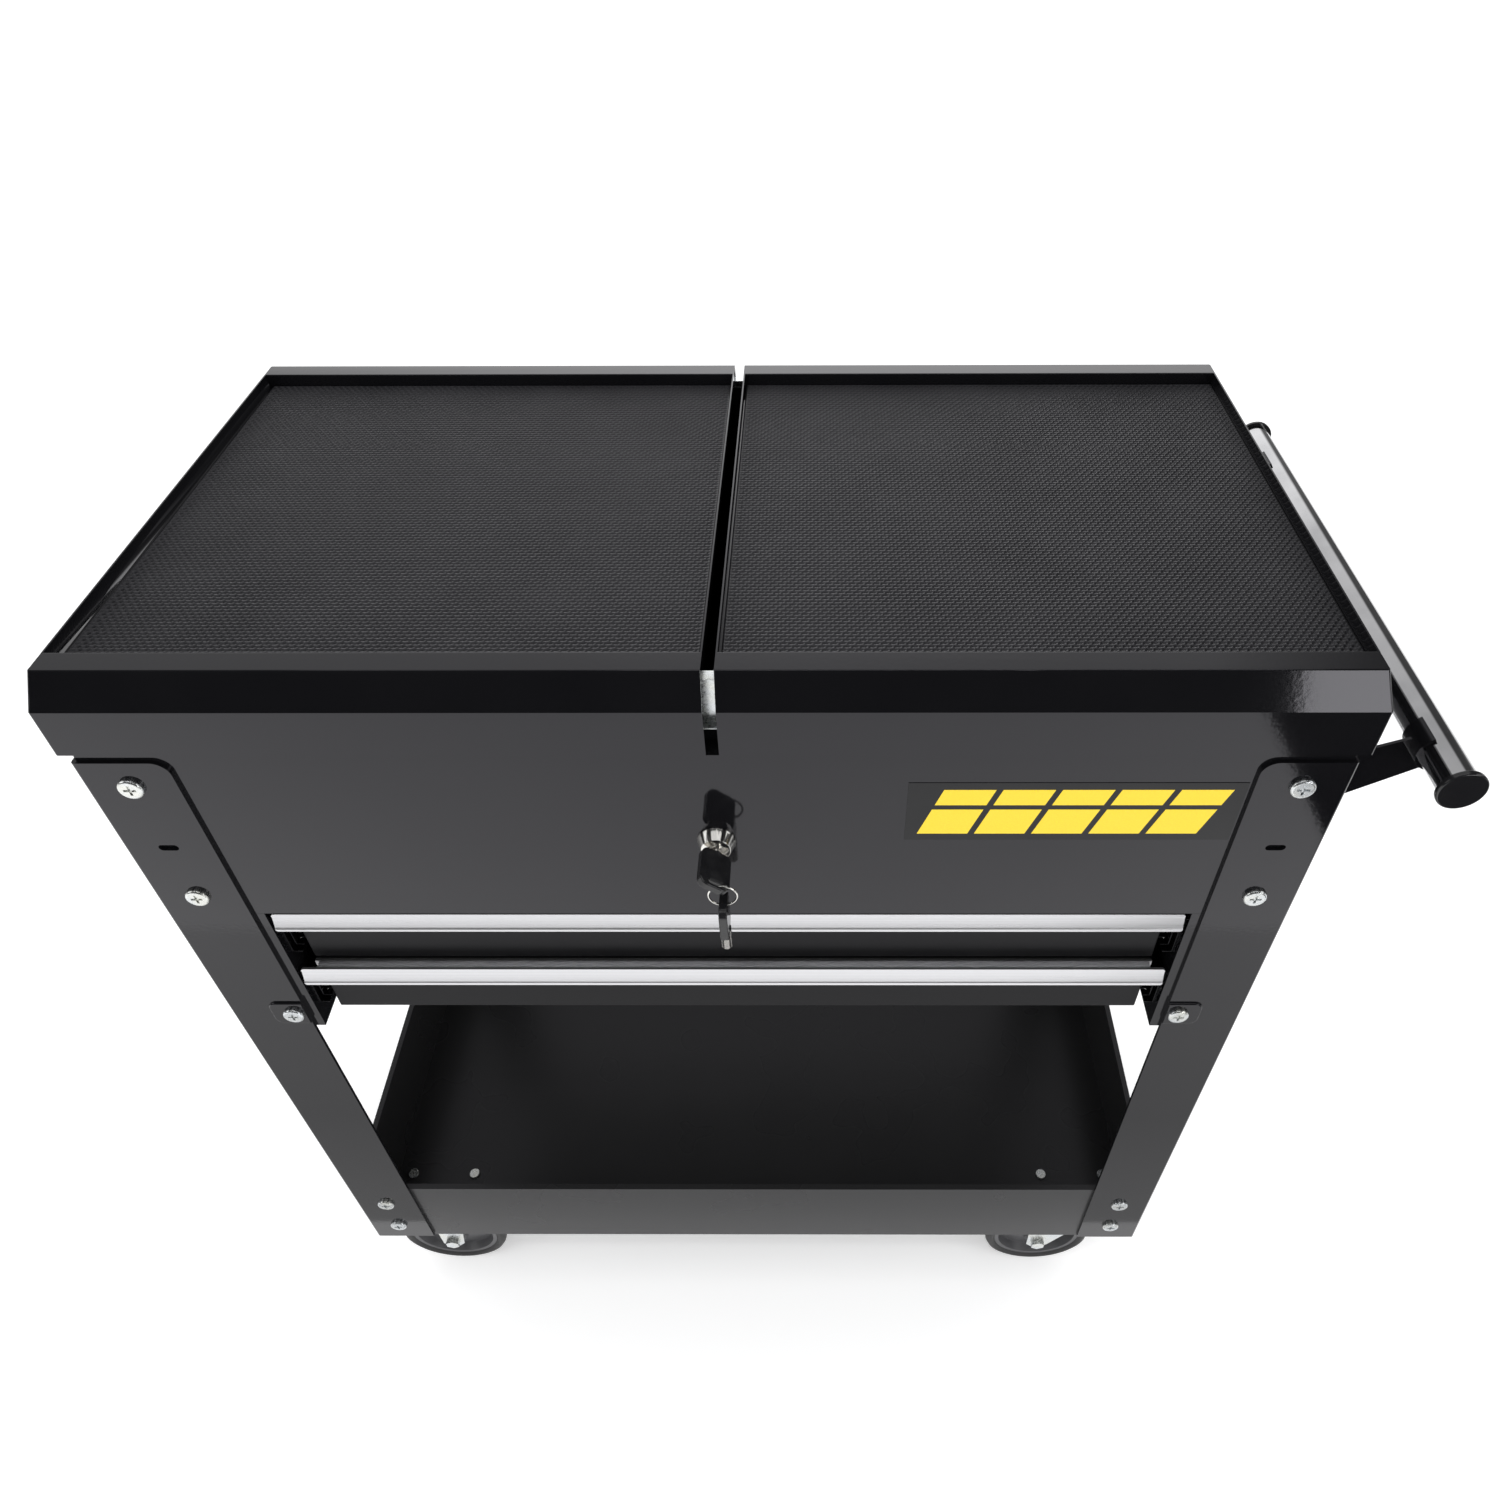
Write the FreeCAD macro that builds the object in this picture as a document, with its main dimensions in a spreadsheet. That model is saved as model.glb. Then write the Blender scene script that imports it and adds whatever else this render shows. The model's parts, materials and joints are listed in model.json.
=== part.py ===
import FreeCAD, Part
import math
import os
import Sketcher

# Slide-top tool cart: two lids that slide apart over a deep top box, two drawers,
# four bolted angle legs, a deep lower tray, a push handle on the right and four casters.
#
# The cart is drawn in its own frame: x = 0 on the centre plane, y = 0 on the lids' front
# plane and growing to the back, z = 0 on the floor. CartX and CartY then shift every piece
# so that the part's origin is the middle of its bounding box, on the floor.

SIZES = {
    # whole cart
    "TotalHeight": 1016, "CartX": -42.25, "CartY": -221.55, "Sheet": 1.2,
    # lids
    "LidSpan": 900, "LidDepth": 466, "LidSkirt": 68, "LidGap": 9, "LidFlare": 9,
    "LidFlareDrop": 29, "LidRim": 19, "LidSideRim": 10.5, "LidRecess": 13, "LidCorner": 2,
    "MatThick": 3, "MatInset": 1.2, "MatPlay": 0.5, "MatEndLeft": 4.5, "MatEndRight": 0.5,
    "RimRound": 1, "HangerTop": 32, "HangerTall": 22,
    # top box
    "BoxSpan": 884, "BoxFront": 4.5, "PanelDrop": 248, "LedgeDrop": 72, "RiserFront": 21,
    "RiserDrop": 16, "SideDrop": 26,
    # legs
    "LegThick": 3, "LegFlange": 66, "LegSide": 45, "LegTopDrop": 77, "LegFoot": 158,
    "LegCorner": 12, "LegBend": 2.5, "BossTall": 31, "BossWide": 30, "BossProud": 2,
    "BoltInset": 33, "BossInset": 56, "BoltDropA": 100.5, "BoltDropB": 222, "BossDrop": 384.5,
    "SlotDrop": 165, "SlotLong": 15, "SlotWide": 6, "TrayBoltA": 245, "TrayBoltB": 190,
    "SideBoltBack": 25, "SideBoltA": 866, "SideBoltB": 891, "SideBoltC": 215,
    # bolts and nuts
    "BoltRadius": 3, "BoltHole": 3.3, "HeadRadius": 9, "HeadThick": 3.6, "HeadRound": 1.9,
    "CrossLong": 9, "CrossWide": 1.8, "CrossDeep": 1.5, "NutRadius": 5.8, "NutThick": 5,
    "ShankPast": 7,
    # lower tray
    "TrayBottom": 156, "TrayRim": 275, "TrayHem": 6, "TrayCorner": 4,
    # drawer bay and drawers
    "BayInside": 741, "BayBottom": 606, "BayFlange": 28, "BayCorner": 7,
    "DrawerSpan": 715, "DrawerFront": 17, "DrawerDepth": 388, "DrawerTall": 72,
    "DrawerDrop": 251, "DrawerPitch": 75, "DrawerCorner": 1.5, "DrawerLip": 5,
    "PullSpan": 733, "PullFront": 1, "PullLean": 4, "PullTall": 17, "PullDrop": 250, "PullWall": 2.4,
    "PullBead": 1, "PullBeadTall": 2.4, "PullWebDrop": 8, "PullCorner": 2.5,
    # ball-bearing slides
    "SlideTall": 45, "SlideMidTall": 36, "SlideRunnerTall": 27, "SlideThick": 13,
    "SlideOuterDeep": 9, "SlideMidSet": 3, "SlideMidDeep": 7.5, "SlideRunnerDeep": 7.3,
    "LidRailSpan": 868, "LidRailDrop": 32.5, "LidSlideOuter": 432, "LidSlideLong": 400,
    "DrawerRailDrop": 287, "DrawerRailFront": 12, "DrawerSlideLong": 384,
    # handle
    "HandleOut": 517, "HandleDrop": 94, "HandleRadius": 14.3, "HandleWall": 1.6,
    "HandleFront": -6, "HandleBack": 490, "CapRadius": 17.5, "CapThick": 4, "CapPlug": 16,
    "CapRound": 1.5, "BracketY": 40, "BracketThick": 2.5, "BracketTall": 50,
    "BracketSlope": 31, "BracketTab": 26, "CradleThick": 2.6, "CradleLong": 24,
    # lock and keys
    "LockX": -3, "LockDrop": 160, "BezelRadius": 14.5, "BezelFace": 11, "BezelProud": 10,
    "BarrelRadius": 9.5, "BarrelLong": 20, "PlugRadius": 6, "PlugPlay": 0.05, "PlugProud": 0.6,
    "CamThick": 3, "CamLong": 32, "CamWide": 14, "LockNutRadius": 13.5, "LockNutThick": 4,
    "KeyRoll": 36, "KeyHeadWide": 25, "KeyHeadLong": 35, "KeyHeadThick": 6.4,
    "KeyHeadRound": 7, "KeyHeadEdge": 1.2, "KeyGap": 1.5, "KeyBarrelLong": 17.5,
    "KeyBarrelRadius": 4.2, "KeyBoreRadius": 3.15, "KeyGroovePlay": 0.15, "KeyEyeX": 1.6,
    "KeyEyeBack": 5, "KeyEyeLong": 15, "KeyEyeWide": 5, "RingRadius": 10.4,
    "RingWire": 0.8, "RingX": 12, "RingZ": -5.7, "RingBack": 4.2, "RingSag": 0.66,
    # badge
    "BadgeX": 256, "BadgeDrop": 129, "BadgeWide": 240, "BadgeTall": 60, "BadgeThick": 0.4,
    # casters
    "WheelRadius": 63.5, "WheelWide": 32, "TyreDeep": 11, "HubBore": 5.06, "HubRadius": 15,
    "HubWide": 35, "AxleRadius": 5, "Trail": 35, "CasterX": 385, "CasterFront": 54.5,
    "CasterBack": 411.5, "PlateThick": 3.5, "PlateLong": 95, "PlateWide": 67,
    "PlateBoltX": 75, "PlateBoltY": 45, "RaceRadius": 26, "RaceTall": 9.5, "RacePlay": 0.4,
    "StubRadius": 7.95, "StubBore": 8, "StubTall": 7, "CrownThick": 5, "ForkInside": 36,
    "ForkThick": 3, "ForkBoss": 13, "PedalThick": 3, "PedalWide": 60, "PedalPin": 3,
    "PedalPinBore": 3.06, "PedalSide": 0.6, "PedalNeck": 20, "PedalReach": 77.5,
    "PedalFall": 16, "PedalPad": 26, "PedalPadRise": 11.7,
}

doc = FreeCAD.newDocument("tool_cart")
sheet = doc.addObject("Spreadsheet::Sheet", "Dims")
for row, (word, size) in enumerate(SIZES.items(), start=1):
    sheet.set("A%d" % row, word)
    sheet.set("B%d" % row, str(size))
    sheet.setAlias("B%d" % row, word)
doc.recompute()


# ---------------------------------------------------------------- formulas over the sheet
class Formula:
    """A size worked out from the sheet: its number, and the text that binds it to the cells."""

    def __init__(self, number, text):
        self.number = number
        self.text = text

    def join(self, sign, other, number):
        return Formula(number, "(%s %s %s)" % (self.text, sign, other.text))

    def __add__(self, other):
        other = formula(other)
        return self.join("+", other, self.number + other.number)

    def __sub__(self, other):
        other = formula(other)
        return self.join("-", other, self.number - other.number)

    def __mul__(self, other):
        other = formula(other)
        return self.join("*", other, self.number * other.number)

    def __truediv__(self, other):
        other = formula(other)
        return self.join("/", other, self.number / other.number)

    def __radd__(self, other):
        return formula(other) + self

    def __rsub__(self, other):
        return formula(other) - self

    def __rmul__(self, other):
        return formula(other) * self

    def __neg__(self):
        return formula(0) - self


def formula(size):
    if isinstance(size, Formula):
        return size
    return Formula(float(size), "(%.6g)" % size)


class Sheet:
    """D.LidSpan is the cell LidSpan as a Formula."""

    def __getattr__(self, word):
        return Formula(float(SIZES[word]), "Dims." + word)


D = Sheet()


def bind(target, prop, size):
    target.setExpression(prop, formula(size).text)


# ---------------------------------------------------------------- bodies
class Piece:
    """One sub-part: a PartDesign body whose features follow one another."""

    def __init__(self, label, at=(0, 0, 0), rotation=None, in_cart=True):
        self.body = doc.addObject("PartDesign::Body", label)
        self.body.Label = label
        if rotation:
            self.body.Placement = FreeCAD.Placement(FreeCAD.Vector(), rotation)
        shift = (D.CartX, D.CartY, 0) if in_cart else (0, 0, 0)
        for axis, move, place in zip("xyz", shift, at):
            bind(self.body, "Placement.Base." + axis, formula(move) + place)

    def plane(self, role):
        return next(f for f in self.body.Origin.OriginFeatures if f.Role == role + "_Plane")

    def sketch(self, plane, offset, outlines=(), circles=()):
        """Closed outlines of (across, up) corners and circles of (across, up, radius)."""
        result = self.body.newObject("Sketcher::SketchObject", self.body.Name + "_sketch")
        result.AttachmentSupport = (self.plane(plane), [""])
        result.MapMode = "FlatFace"
        offset = formula(offset)
        bind(result, "AttachmentOffset.Base.z", -offset if plane == "XZ" else offset)
        for outline in outlines:
            draw_outline(result, [(formula(a), formula(b)) for a, b in outline])
        for across, up, radius in circles:
            draw_circle(result, formula(across), formula(up), formula(radius))
        return result

    def prism(self, kind, plane, low, high, outlines=(), circles=()):
        """Pads or pockets the sketch over the span low..high along the plane's axis."""
        low = formula(low)
        high = formula(high)
        start = high if plane == "XZ" else low
        profile = self.sketch(plane, start, outlines, circles)
        feature = self.body.newObject("PartDesign::" + kind, self.body.Name + "_" + kind)
        feature.Profile = profile
        bind(feature, "Length", high - low)
        feature.Reversed = kind == "Pocket"
        return feature

    def add(self, plane, low, high, outlines=(), circles=()):
        return self.prism("Pad", plane, low, high, outlines, circles)

    def cut(self, plane, low, high, outlines=(), circles=()):
        """A pocket, checked to have taken something away."""
        doc.recompute()
        before = self.body.Shape.Volume
        feature = self.prism("Pocket", plane, low, high, outlines, circles)
        doc.recompute()
        if not self.body.Shape.Volume < before:
            raise ValueError("a pocket of %s cuts nothing" % self.body.Label)
        return feature

    def cut_slot(self, plane, low, high, centre, long, wide):
        """A round-ended slot, long across the sketch."""
        across, up = centre
        half = (long - wide) / 2
        self.cut(plane, low, high, [rectangle((across - half, across + half),
                                              (up - wide / 2, up + wide / 2))])
        for end in (-half, half):
            self.cut(plane, low, high, circles=[(across + end, up, wide / 2)])

    def block(self, across, deep, tall):
        self.add("XY", tall[0], tall[1], [rectangle(across, deep)])

    def hollow(self, across, deep, tall):
        self.cut("XY", tall[0], tall[1], [rectangle(across, deep)])

    def taper(self, kind, tall, base, top):
        """A loft between two rectangles, each ((x0, x1), (y0, y1))."""
        lower = self.sketch("XY", tall[0], [rectangle(*base)])
        upper = self.sketch("XY", tall[1], [rectangle(*top)])
        loft = self.body.newObject("PartDesign::" + kind, self.body.Name + "_taper")
        loft.Profile = lower
        loft.Sections = [upper]
        loft.Ruled = True

    def turn(self, outline, cut=False):
        """Turns an outline of (along y, radius) corners about the body's Y axis."""
        profile = self.sketch("YZ", 0, [outline])
        kind = "Groove" if cut else "Revolution"
        feature = self.body.newObject("PartDesign::" + kind, self.body.Name + "_turn")
        feature.Profile = profile
        feature.ReferenceAxis = (profile, ["H_Axis"])
        feature.Angle = 360

    def round(self, radius, chosen):
        """Fillets the edges for which chosen(edge) holds."""
        doc.recompute()
        tip = self.body.Tip
        names = ["Edge%d" % (i + 1) for i, edge in enumerate(tip.Shape.Edges)
                 if not edge.Degenerated and chosen(edge)]
        if not names:
            raise ValueError("no edge to round on " + self.body.Label)
        fillet = self.body.newObject("PartDesign::Fillet", self.body.Name + "_fillet")
        fillet.Base = (tip, names)
        bind(fillet, "Radius", radius)


def draw_outline(sketch, corners):
    first = len(sketch.Geometry)
    count = len(corners)
    points = [FreeCAD.Vector(a.number, b.number, 0) for a, b in corners]
    for i in range(count):
        sketch.addGeometry(Part.LineSegment(points[i], points[(i + 1) % count]))
    for i in range(count):
        following = first + (i + 1) % count
        sketch.addConstraint(Sketcher.Constraint("Coincident", first + i, 2, following, 1))
    for i, (across, up) in enumerate(corners):
        pin_point(sketch, first + i, 1, across, up)


def draw_circle(sketch, across, up, radius):
    centre = FreeCAD.Vector(across.number, up.number, 0)
    axis = FreeCAD.Vector(0, 0, 1)
    index = sketch.addGeometry(Part.Circle(centre, axis, radius.number))
    pin_point(sketch, index, 3, across, up)
    size = sketch.addConstraint(Sketcher.Constraint("Radius", index, radius.number))
    bind(sketch, "Constraints[%d]" % size, radius)


def pin_point(sketch, index, which, across, up):
    """Fixes a point of the sketch by its two distances from the origin."""
    for kind, axis, size in (("DistanceX", -2, across), ("DistanceY", -1, up)):
        if abs(size.number) < 1e-9:
            sketch.addConstraint(Sketcher.Constraint("PointOnObject", index, which, axis))
        else:
            made = Sketcher.Constraint(kind, -1, 1, index, which, size.number)
            bind(sketch, "Constraints[%d]" % sketch.addConstraint(made), size)


def rectangle(across, up):
    (a, b), (c, d) = across, up
    return [(a, c), (b, c), (b, d), (a, d)]


def hexagon(across, up, radius):
    angles = [math.radians(60 * i + 30) for i in range(6)]
    return [(across + radius * math.cos(a), up + radius * math.sin(a)) for a in angles]


def ordered(a, b):
    return sorted((formula(a), formula(b)), key=lambda size: size.number)


def channel(web, way, middle, half, deep):
    """A C section: its web's outer face at web, open towards way, half as tall as half * 2."""
    tip = web + way * deep
    inner = web + way * D.Sheet
    low, high = middle - half, middle + half
    return [(web, low), (tip, low), (tip, low + D.Sheet), (inner, low + D.Sheet),
            (inner, high - D.Sheet), (tip, high - D.Sheet), (tip, high), (web, high)]


def near(a, b):
    return abs(a - formula(b).number) < 0.01


def edge_middle(edge):
    return edge.valueAt((edge.FirstParameter + edge.LastParameter) / 2)


def edge_runs(edge, axis):
    """True where a straight edge runs along the axis, 0, 1 or 2."""
    ends = [vertex.Point for vertex in edge.Vertexes]
    if len(ends) < 2:
        return False
    span = ends[1] - ends[0]
    return abs(abs(span[axis]) - edge.Length) < 1e-6


def depth(y, back):
    """A distance from the front plane, or the same distance from the back plane."""
    return D.LidDepth - y if back else formula(y)


top = D.TotalHeight
SIDES = (("left", -1), ("right", 1))
ENDS = (("front", False), ("back", True))


# ---------------------------------------------------------------- lids
def lid_pan(name, side):
    """A pressed tray lid: a skirt on three sides, a sunk top, and hangers for the runners."""
    piece = Piece(name + "_lid_pan")
    outer = side * D.LidSpan / 2
    inner = side * D.LidGap / 2
    open_end = inner - side * 1.0
    skirt_low = top - D.LidSkirt
    flare_low = top - D.LidFlareDrop
    wall = side * D.Sheet
    deep = D.LidDepth

    piece.block((outer, inner), (0, deep), (skirt_low, flare_low))
    piece.taper("AdditiveLoft", (flare_low, top), ((outer, inner), (0, deep)),
                ((outer - side * D.LidFlare, inner), (D.LidFlare, deep - D.LidFlare)))

    def outer_corner(edge):
        middle = edge_middle(edge)
        at_end = abs(middle.x) > D.LidSpan.number / 2 - D.LidFlare.number
        upright = abs(edge.tangentAt(edge.FirstParameter).z) > 0.8
        return at_end and upright

    piece.round(D.LidCorner, outer_corner)

    def rim(edge):
        return near(edge_middle(edge).z, top) and not near(edge_middle(edge).x, inner)

    piece.round(D.RimRound, rim)
    piece.hollow((outer - wall, open_end), (D.Sheet, deep - D.Sheet), (skirt_low, flare_low))
    inset = D.LidFlare + D.Sheet
    piece.taper("SubtractiveLoft", (flare_low, top - D.Sheet),
                ((outer - wall, open_end), (D.Sheet, deep - D.Sheet)),
                ((outer - side * inset, open_end), (inset, deep - inset)))

    pan_x = outer - side * D.LidSideRim
    pan_y = D.LidFlare + D.LidRim
    floor = top - D.LidRecess
    piece.block((pan_x + wall, inner), (pan_y - D.Sheet, deep - pan_y + D.Sheet),
                (floor - D.Sheet, top))
    piece.hollow((pan_x, inner + wall), (pan_y, deep - pan_y), (floor, top))

    def pan_edge(edge):
        middle = edge_middle(edge)
        across = near(middle.y, pan_y) or near(middle.y, deep - pan_y)
        return near(middle.z, top) and across and edge_runs(edge, 0)

    piece.round(D.RimRound, pan_edge)

    hanger_top = top - D.HangerTop
    hanger_low = hanger_top - D.HangerTall
    runner_face = D.RiserFront - D.SlideThick
    hangers = []
    for _, back in ENDS:
        hangers.append([(depth(y, back), z) for y, z in (
            (D.Sheet, hanger_low), (D.Sheet, hanger_top), (runner_face, hanger_top),
            (runner_face, hanger_low), (runner_face - D.Sheet, hanger_low),
            (runner_face - D.Sheet, hanger_top - D.Sheet), (D.Sheet * 2, hanger_top - D.Sheet),
            (D.Sheet * 2, hanger_low))])
    reach = lid_slide_reach(side)
    piece.add("YZ", reach[0], reach[1], hangers)


def lid_slide_reach(side):
    return ordered(side * D.LidSlideOuter, side * (D.LidSlideOuter - D.LidSlideLong))


def lid_mat(name, side):
    piece = Piece(name + "_lid_mat")
    floor = top - D.LidRecess
    end = D.MatEndLeft if name == "left" else D.MatEndRight
    outer = side * (D.LidSpan / 2 - D.LidSideRim - end)
    inner = side * (D.LidGap / 2 + D.Sheet + D.MatInset)
    pan_y = D.LidFlare + D.LidRim + D.MatPlay
    piece.block((outer, inner), (pan_y, D.LidDepth - pan_y), (floor, floor + D.MatThick))


def lid_slide_sections(set_off, half, deep, opens_out):
    """The front and back C sections of one slide member, set_off from the riser's face."""
    middle = top - D.LidRailDrop
    sections = []
    for _, back in ENDS:
        web = depth(D.RiserFront - set_off, back)
        way = (1 if back else -1) * (1 if opens_out else -1)
        sections.append(channel(web, way, middle, half, deep))
    return sections


def lid_slides():
    fixed = Piece("lid_fixed_rails")
    half_span = D.LidRailSpan / 2
    fixed.add("YZ", -half_span, half_span,
              lid_slide_sections(0, D.SlideTall / 2, D.SlideOuterDeep, True))
    for name, side in SIDES:
        ends = lid_slide_reach(side)
        middle = Piece(name + "_lid_middle_rails")
        middle.add("YZ", ends[0], ends[1], lid_slide_sections(
            D.SlideMidSet, D.SlideMidTall / 2, D.SlideMidDeep, True))
        runner = Piece(name + "_lid_runners")
        runner.add("YZ", ends[0], ends[1], lid_slide_sections(
            D.SlideThick, D.SlideRunnerTall / 2, D.SlideRunnerDeep, False))


# ---------------------------------------------------------------- top box
def wall_section(back):
    """The front or back wall with its ledge and riser, as (y, z) corners."""
    face = D.BoxFront
    ledge = top - D.LedgeDrop
    low = top - D.PanelDrop
    high = top - D.RiserDrop
    corners = ((face, low), (face, ledge), (D.RiserFront, ledge), (D.RiserFront, high),
               (D.RiserFront + D.Sheet, high), (D.RiserFront + D.Sheet, ledge - D.Sheet),
               (face + D.Sheet, ledge - D.Sheet), (face + D.Sheet, low))
    return [(depth(y, back), z) for y, z in corners]


def box_bolts():
    """(x, z) of the leg bolts that go through the top box's front and back walls."""
    x = D.BoxSpan / 2 + D.LegThick - D.BoltInset
    return [(side * x, top - drop) for side in (-1, 1) for drop in (D.BoltDropA, D.BoltDropB)]


def front_panel():
    piece = Piece("front_panel")
    piece.add("YZ", -D.BoxSpan / 2, D.BoxSpan / 2, [wall_section(False)])
    lock = (D.LockX, top - D.LockDrop, D.BarrelRadius + 0.2)
    holes = [(x, z, D.BoltHole) for x, z in box_bolts()]
    piece.cut("XZ", D.BoxFront - 1, D.BoxFront + D.Sheet + 1, circles=[lock] + holes)


def box_shell():
    """The back wall and both side walls, folded from one sheet."""
    piece = Piece("top_box_shell")
    half = D.BoxSpan / 2
    piece.add("YZ", -half, half, [wall_section(True)])
    low = top - D.PanelDrop
    ledge = top - D.LedgeDrop
    front = D.BoxFront + D.Sheet
    riser = D.RiserFront + D.Sheet
    for side in (-1, 1):
        wall = (side * half, side * (half - D.Sheet))
        piece.block(wall, (front, D.LidDepth - front), (low, ledge - D.Sheet))
        piece.block(wall, (riser, D.LidDepth - riser), (ledge - D.Sheet, top - D.SideDrop))
    holes = [(x, z, D.BoltHole) for x, z in box_bolts()]
    back = D.LidDepth - D.BoxFront
    piece.cut("XZ", back - D.Sheet - 1, back + 1, circles=holes)
    side_holes = [(depth(D.SideBoltBack, b), z, D.BoltHole) for _, b in ENDS
                  for z in (D.SideBoltA, D.SideBoltB)]
    piece.cut("YZ", -half - 1, half + 1, circles=side_holes)


def box_floor():
    piece = Piece("top_box_floor")
    half = D.BoxSpan / 2 - D.Sheet
    front = D.BoxFront + D.Sheet
    low = top - D.PanelDrop
    piece.block((-half, half), (front, D.LidDepth - front), (low, low + D.Sheet))


def badge():
    piece = Piece("badge_plate")
    middle = top - D.BadgeDrop
    piece.add("XZ", D.BoxFront - D.BadgeThick, D.BoxFront, [rectangle(
        (D.BadgeX - D.BadgeWide / 2, D.BadgeX + D.BadgeWide / 2),
        (middle - D.BadgeTall / 2, middle + D.BadgeTall / 2))])


# ---------------------------------------------------------------- legs and their fasteners
def leg(name, side, back):
    """An angle leg, with a raised boss for the low bolt and a slot for a hook."""
    piece = Piece("leg_" + name)
    outside = side * (D.BoxSpan / 2 + D.LegThick)
    inside = side * (D.BoxSpan / 2)
    tip = outside - side * D.LegFlange
    face = depth(D.BoxFront - D.LegThick, back)
    seat = depth(D.BoxFront, back)
    side_tip = depth(D.BoxFront - D.LegThick + D.LegSide, back)
    leg_top = top - D.LegTopDrop
    piece.add("XY", D.LegFoot, leg_top, [[
        (outside, face), (tip, face), (tip, seat), (inside, seat),
        (inside, side_tip), (outside, side_tip)]])

    piece.round(D.LegBend, lambda edge: edge_runs(edge, 2) and near(edge_middle(edge).x, outside)
                and near(edge_middle(edge).y, face))
    piece.round(D.LegCorner, lambda edge: edge_runs(edge, 1) and near(edge_middle(edge).x, tip)
                and near(edge_middle(edge).z, leg_top))

    boss_z = top - D.BossDrop
    proud = depth(D.BoxFront - D.LegThick - D.BossProud, back)
    boss = [(tip, tip + side * D.BossWide), (boss_z - D.BossTall / 2, boss_z + D.BossTall / 2)]
    span = (face, proud) if back else (proud, face)
    piece.add("XZ", span[0], span[1], [rectangle(*boss)])
    piece.round(D.BossTall / 4, lambda edge: edge_runs(edge, 1)
                and near(edge_middle(edge).x, tip + side * D.BossWide))
    piece.round(D.BossProud * 0.8, lambda edge: near(edge_middle(edge).y, proud)
                and abs(edge_middle(edge).x - tip.number) > 1)

    x = outside - side * D.BoltInset
    drops = (top - D.BoltDropA, top - D.BoltDropB, D.TrayBoltA, D.TrayBoltB)
    holes = [(x, z, D.BoltHole) for z in drops]
    holes.append((outside - side * D.BossInset, boss_z, D.BoltHole))
    ends = (seat, proud) if back else (proud, seat)
    piece.cut("XZ", ends[0] - 1, ends[1] + 1, circles=holes)
    piece.cut_slot("XZ", ends[0] - 1, ends[1] + 1, (x, top - D.SlotDrop),
                   D.SlotLong, D.SlotWide)
    side_y = depth(D.SideBoltBack, back)
    walls = ordered(outside, inside)
    piece.cut("YZ", walls[0] - 1, walls[1] + 1, circles=[
        (side_y, z, D.BoltHole) for z in (D.SideBoltA, D.SideBoltB, D.SideBoltC)])


def cross(across, up):
    """The four-armed outline of a driver recess."""
    a = D.CrossLong / 2
    b = D.CrossWide / 2
    corners = ((a, b), (b, b), (b, a), (-b, a), (-b, b), (-a, b),
               (-a, -b), (-b, -b), (-b, -a), (b, -a), (b, -b), (a, -b))
    return [(across + p, up + q) for p, q in corners]


def bolt_row(bolts, nuts, plane, places, seat, clamped, way):
    """Pan-head bolts that bear on seat and point along way, with nuts past what they clamp."""
    outer = seat - way * D.HeadThick
    nut_face = seat + way * clamped
    shank_tip = nut_face + way * D.ShankPast
    nut_back = nut_face + way * D.NutThick
    recess = outer + way * D.CrossDeep
    bolts.add(plane, *ordered(outer, seat), circles=[(a, b, D.HeadRadius) for a, b in places])
    bolts.add(plane, *ordered(seat, shank_tip), circles=[(a, b, D.BoltRadius) for a, b in places])
    axis = 1 if plane == "XZ" else 0
    bolts.round(D.HeadRound, lambda edge: near(edge_middle(edge)[axis], outer)
                and edge.Curve.TypeId == "Part::GeomCircle"
                and near(edge.Curve.Radius, D.HeadRadius))
    bolts.cut(plane, *ordered(outer - way, recess), [cross(a, b) for a, b in places])
    nuts.add(plane, *ordered(nut_face, nut_back), [hexagon(a, b, D.NutRadius) for a, b in places])
    nuts.cut(plane, *ordered(nut_face - way, nut_back + way),
             circles=[(a, b, D.BoltRadius + 0.02) for a, b in places])


def leg_fasteners():
    bolts = Piece("frame_bolts")
    nuts = Piece("frame_nuts")
    half = D.BoxSpan / 2 + D.LegThick
    x = half - D.BoltInset
    rows = [(side * x, z) for side in (-1, 1)
            for z in (top - D.BoltDropA, top - D.BoltDropB, D.TrayBoltA, D.TrayBoltB)]
    boss_row = [(side * (half - D.BossInset), top - D.BossDrop) for side in (-1, 1)]
    clamped = D.LegThick + D.Sheet
    for _, back in ENDS:
        way = -1 if back else 1
        seat = depth(D.BoxFront - D.LegThick, back)
        bolt_row(bolts, nuts, "XZ", rows, seat, clamped, way)
        bolt_row(bolts, nuts, "XZ", boss_row, seat - way * D.BossProud,
                 clamped + D.BossProud, way)
    box_row = [(depth(D.SideBoltBack, back), z) for _, back in ENDS
               for z in (D.SideBoltA, D.SideBoltB)]
    tray_row = [(depth(D.SideBoltBack, back), D.SideBoltC) for _, back in ENDS]
    for side in (-1, 1):
        tab = D.BracketThick if side > 0 else formula(0)
        bolt_row(bolts, nuts, "YZ", box_row, side * (half + tab), clamped + tab, -side)
        bolt_row(bolts, nuts, "YZ", tray_row, side * half, clamped, -side)


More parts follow.
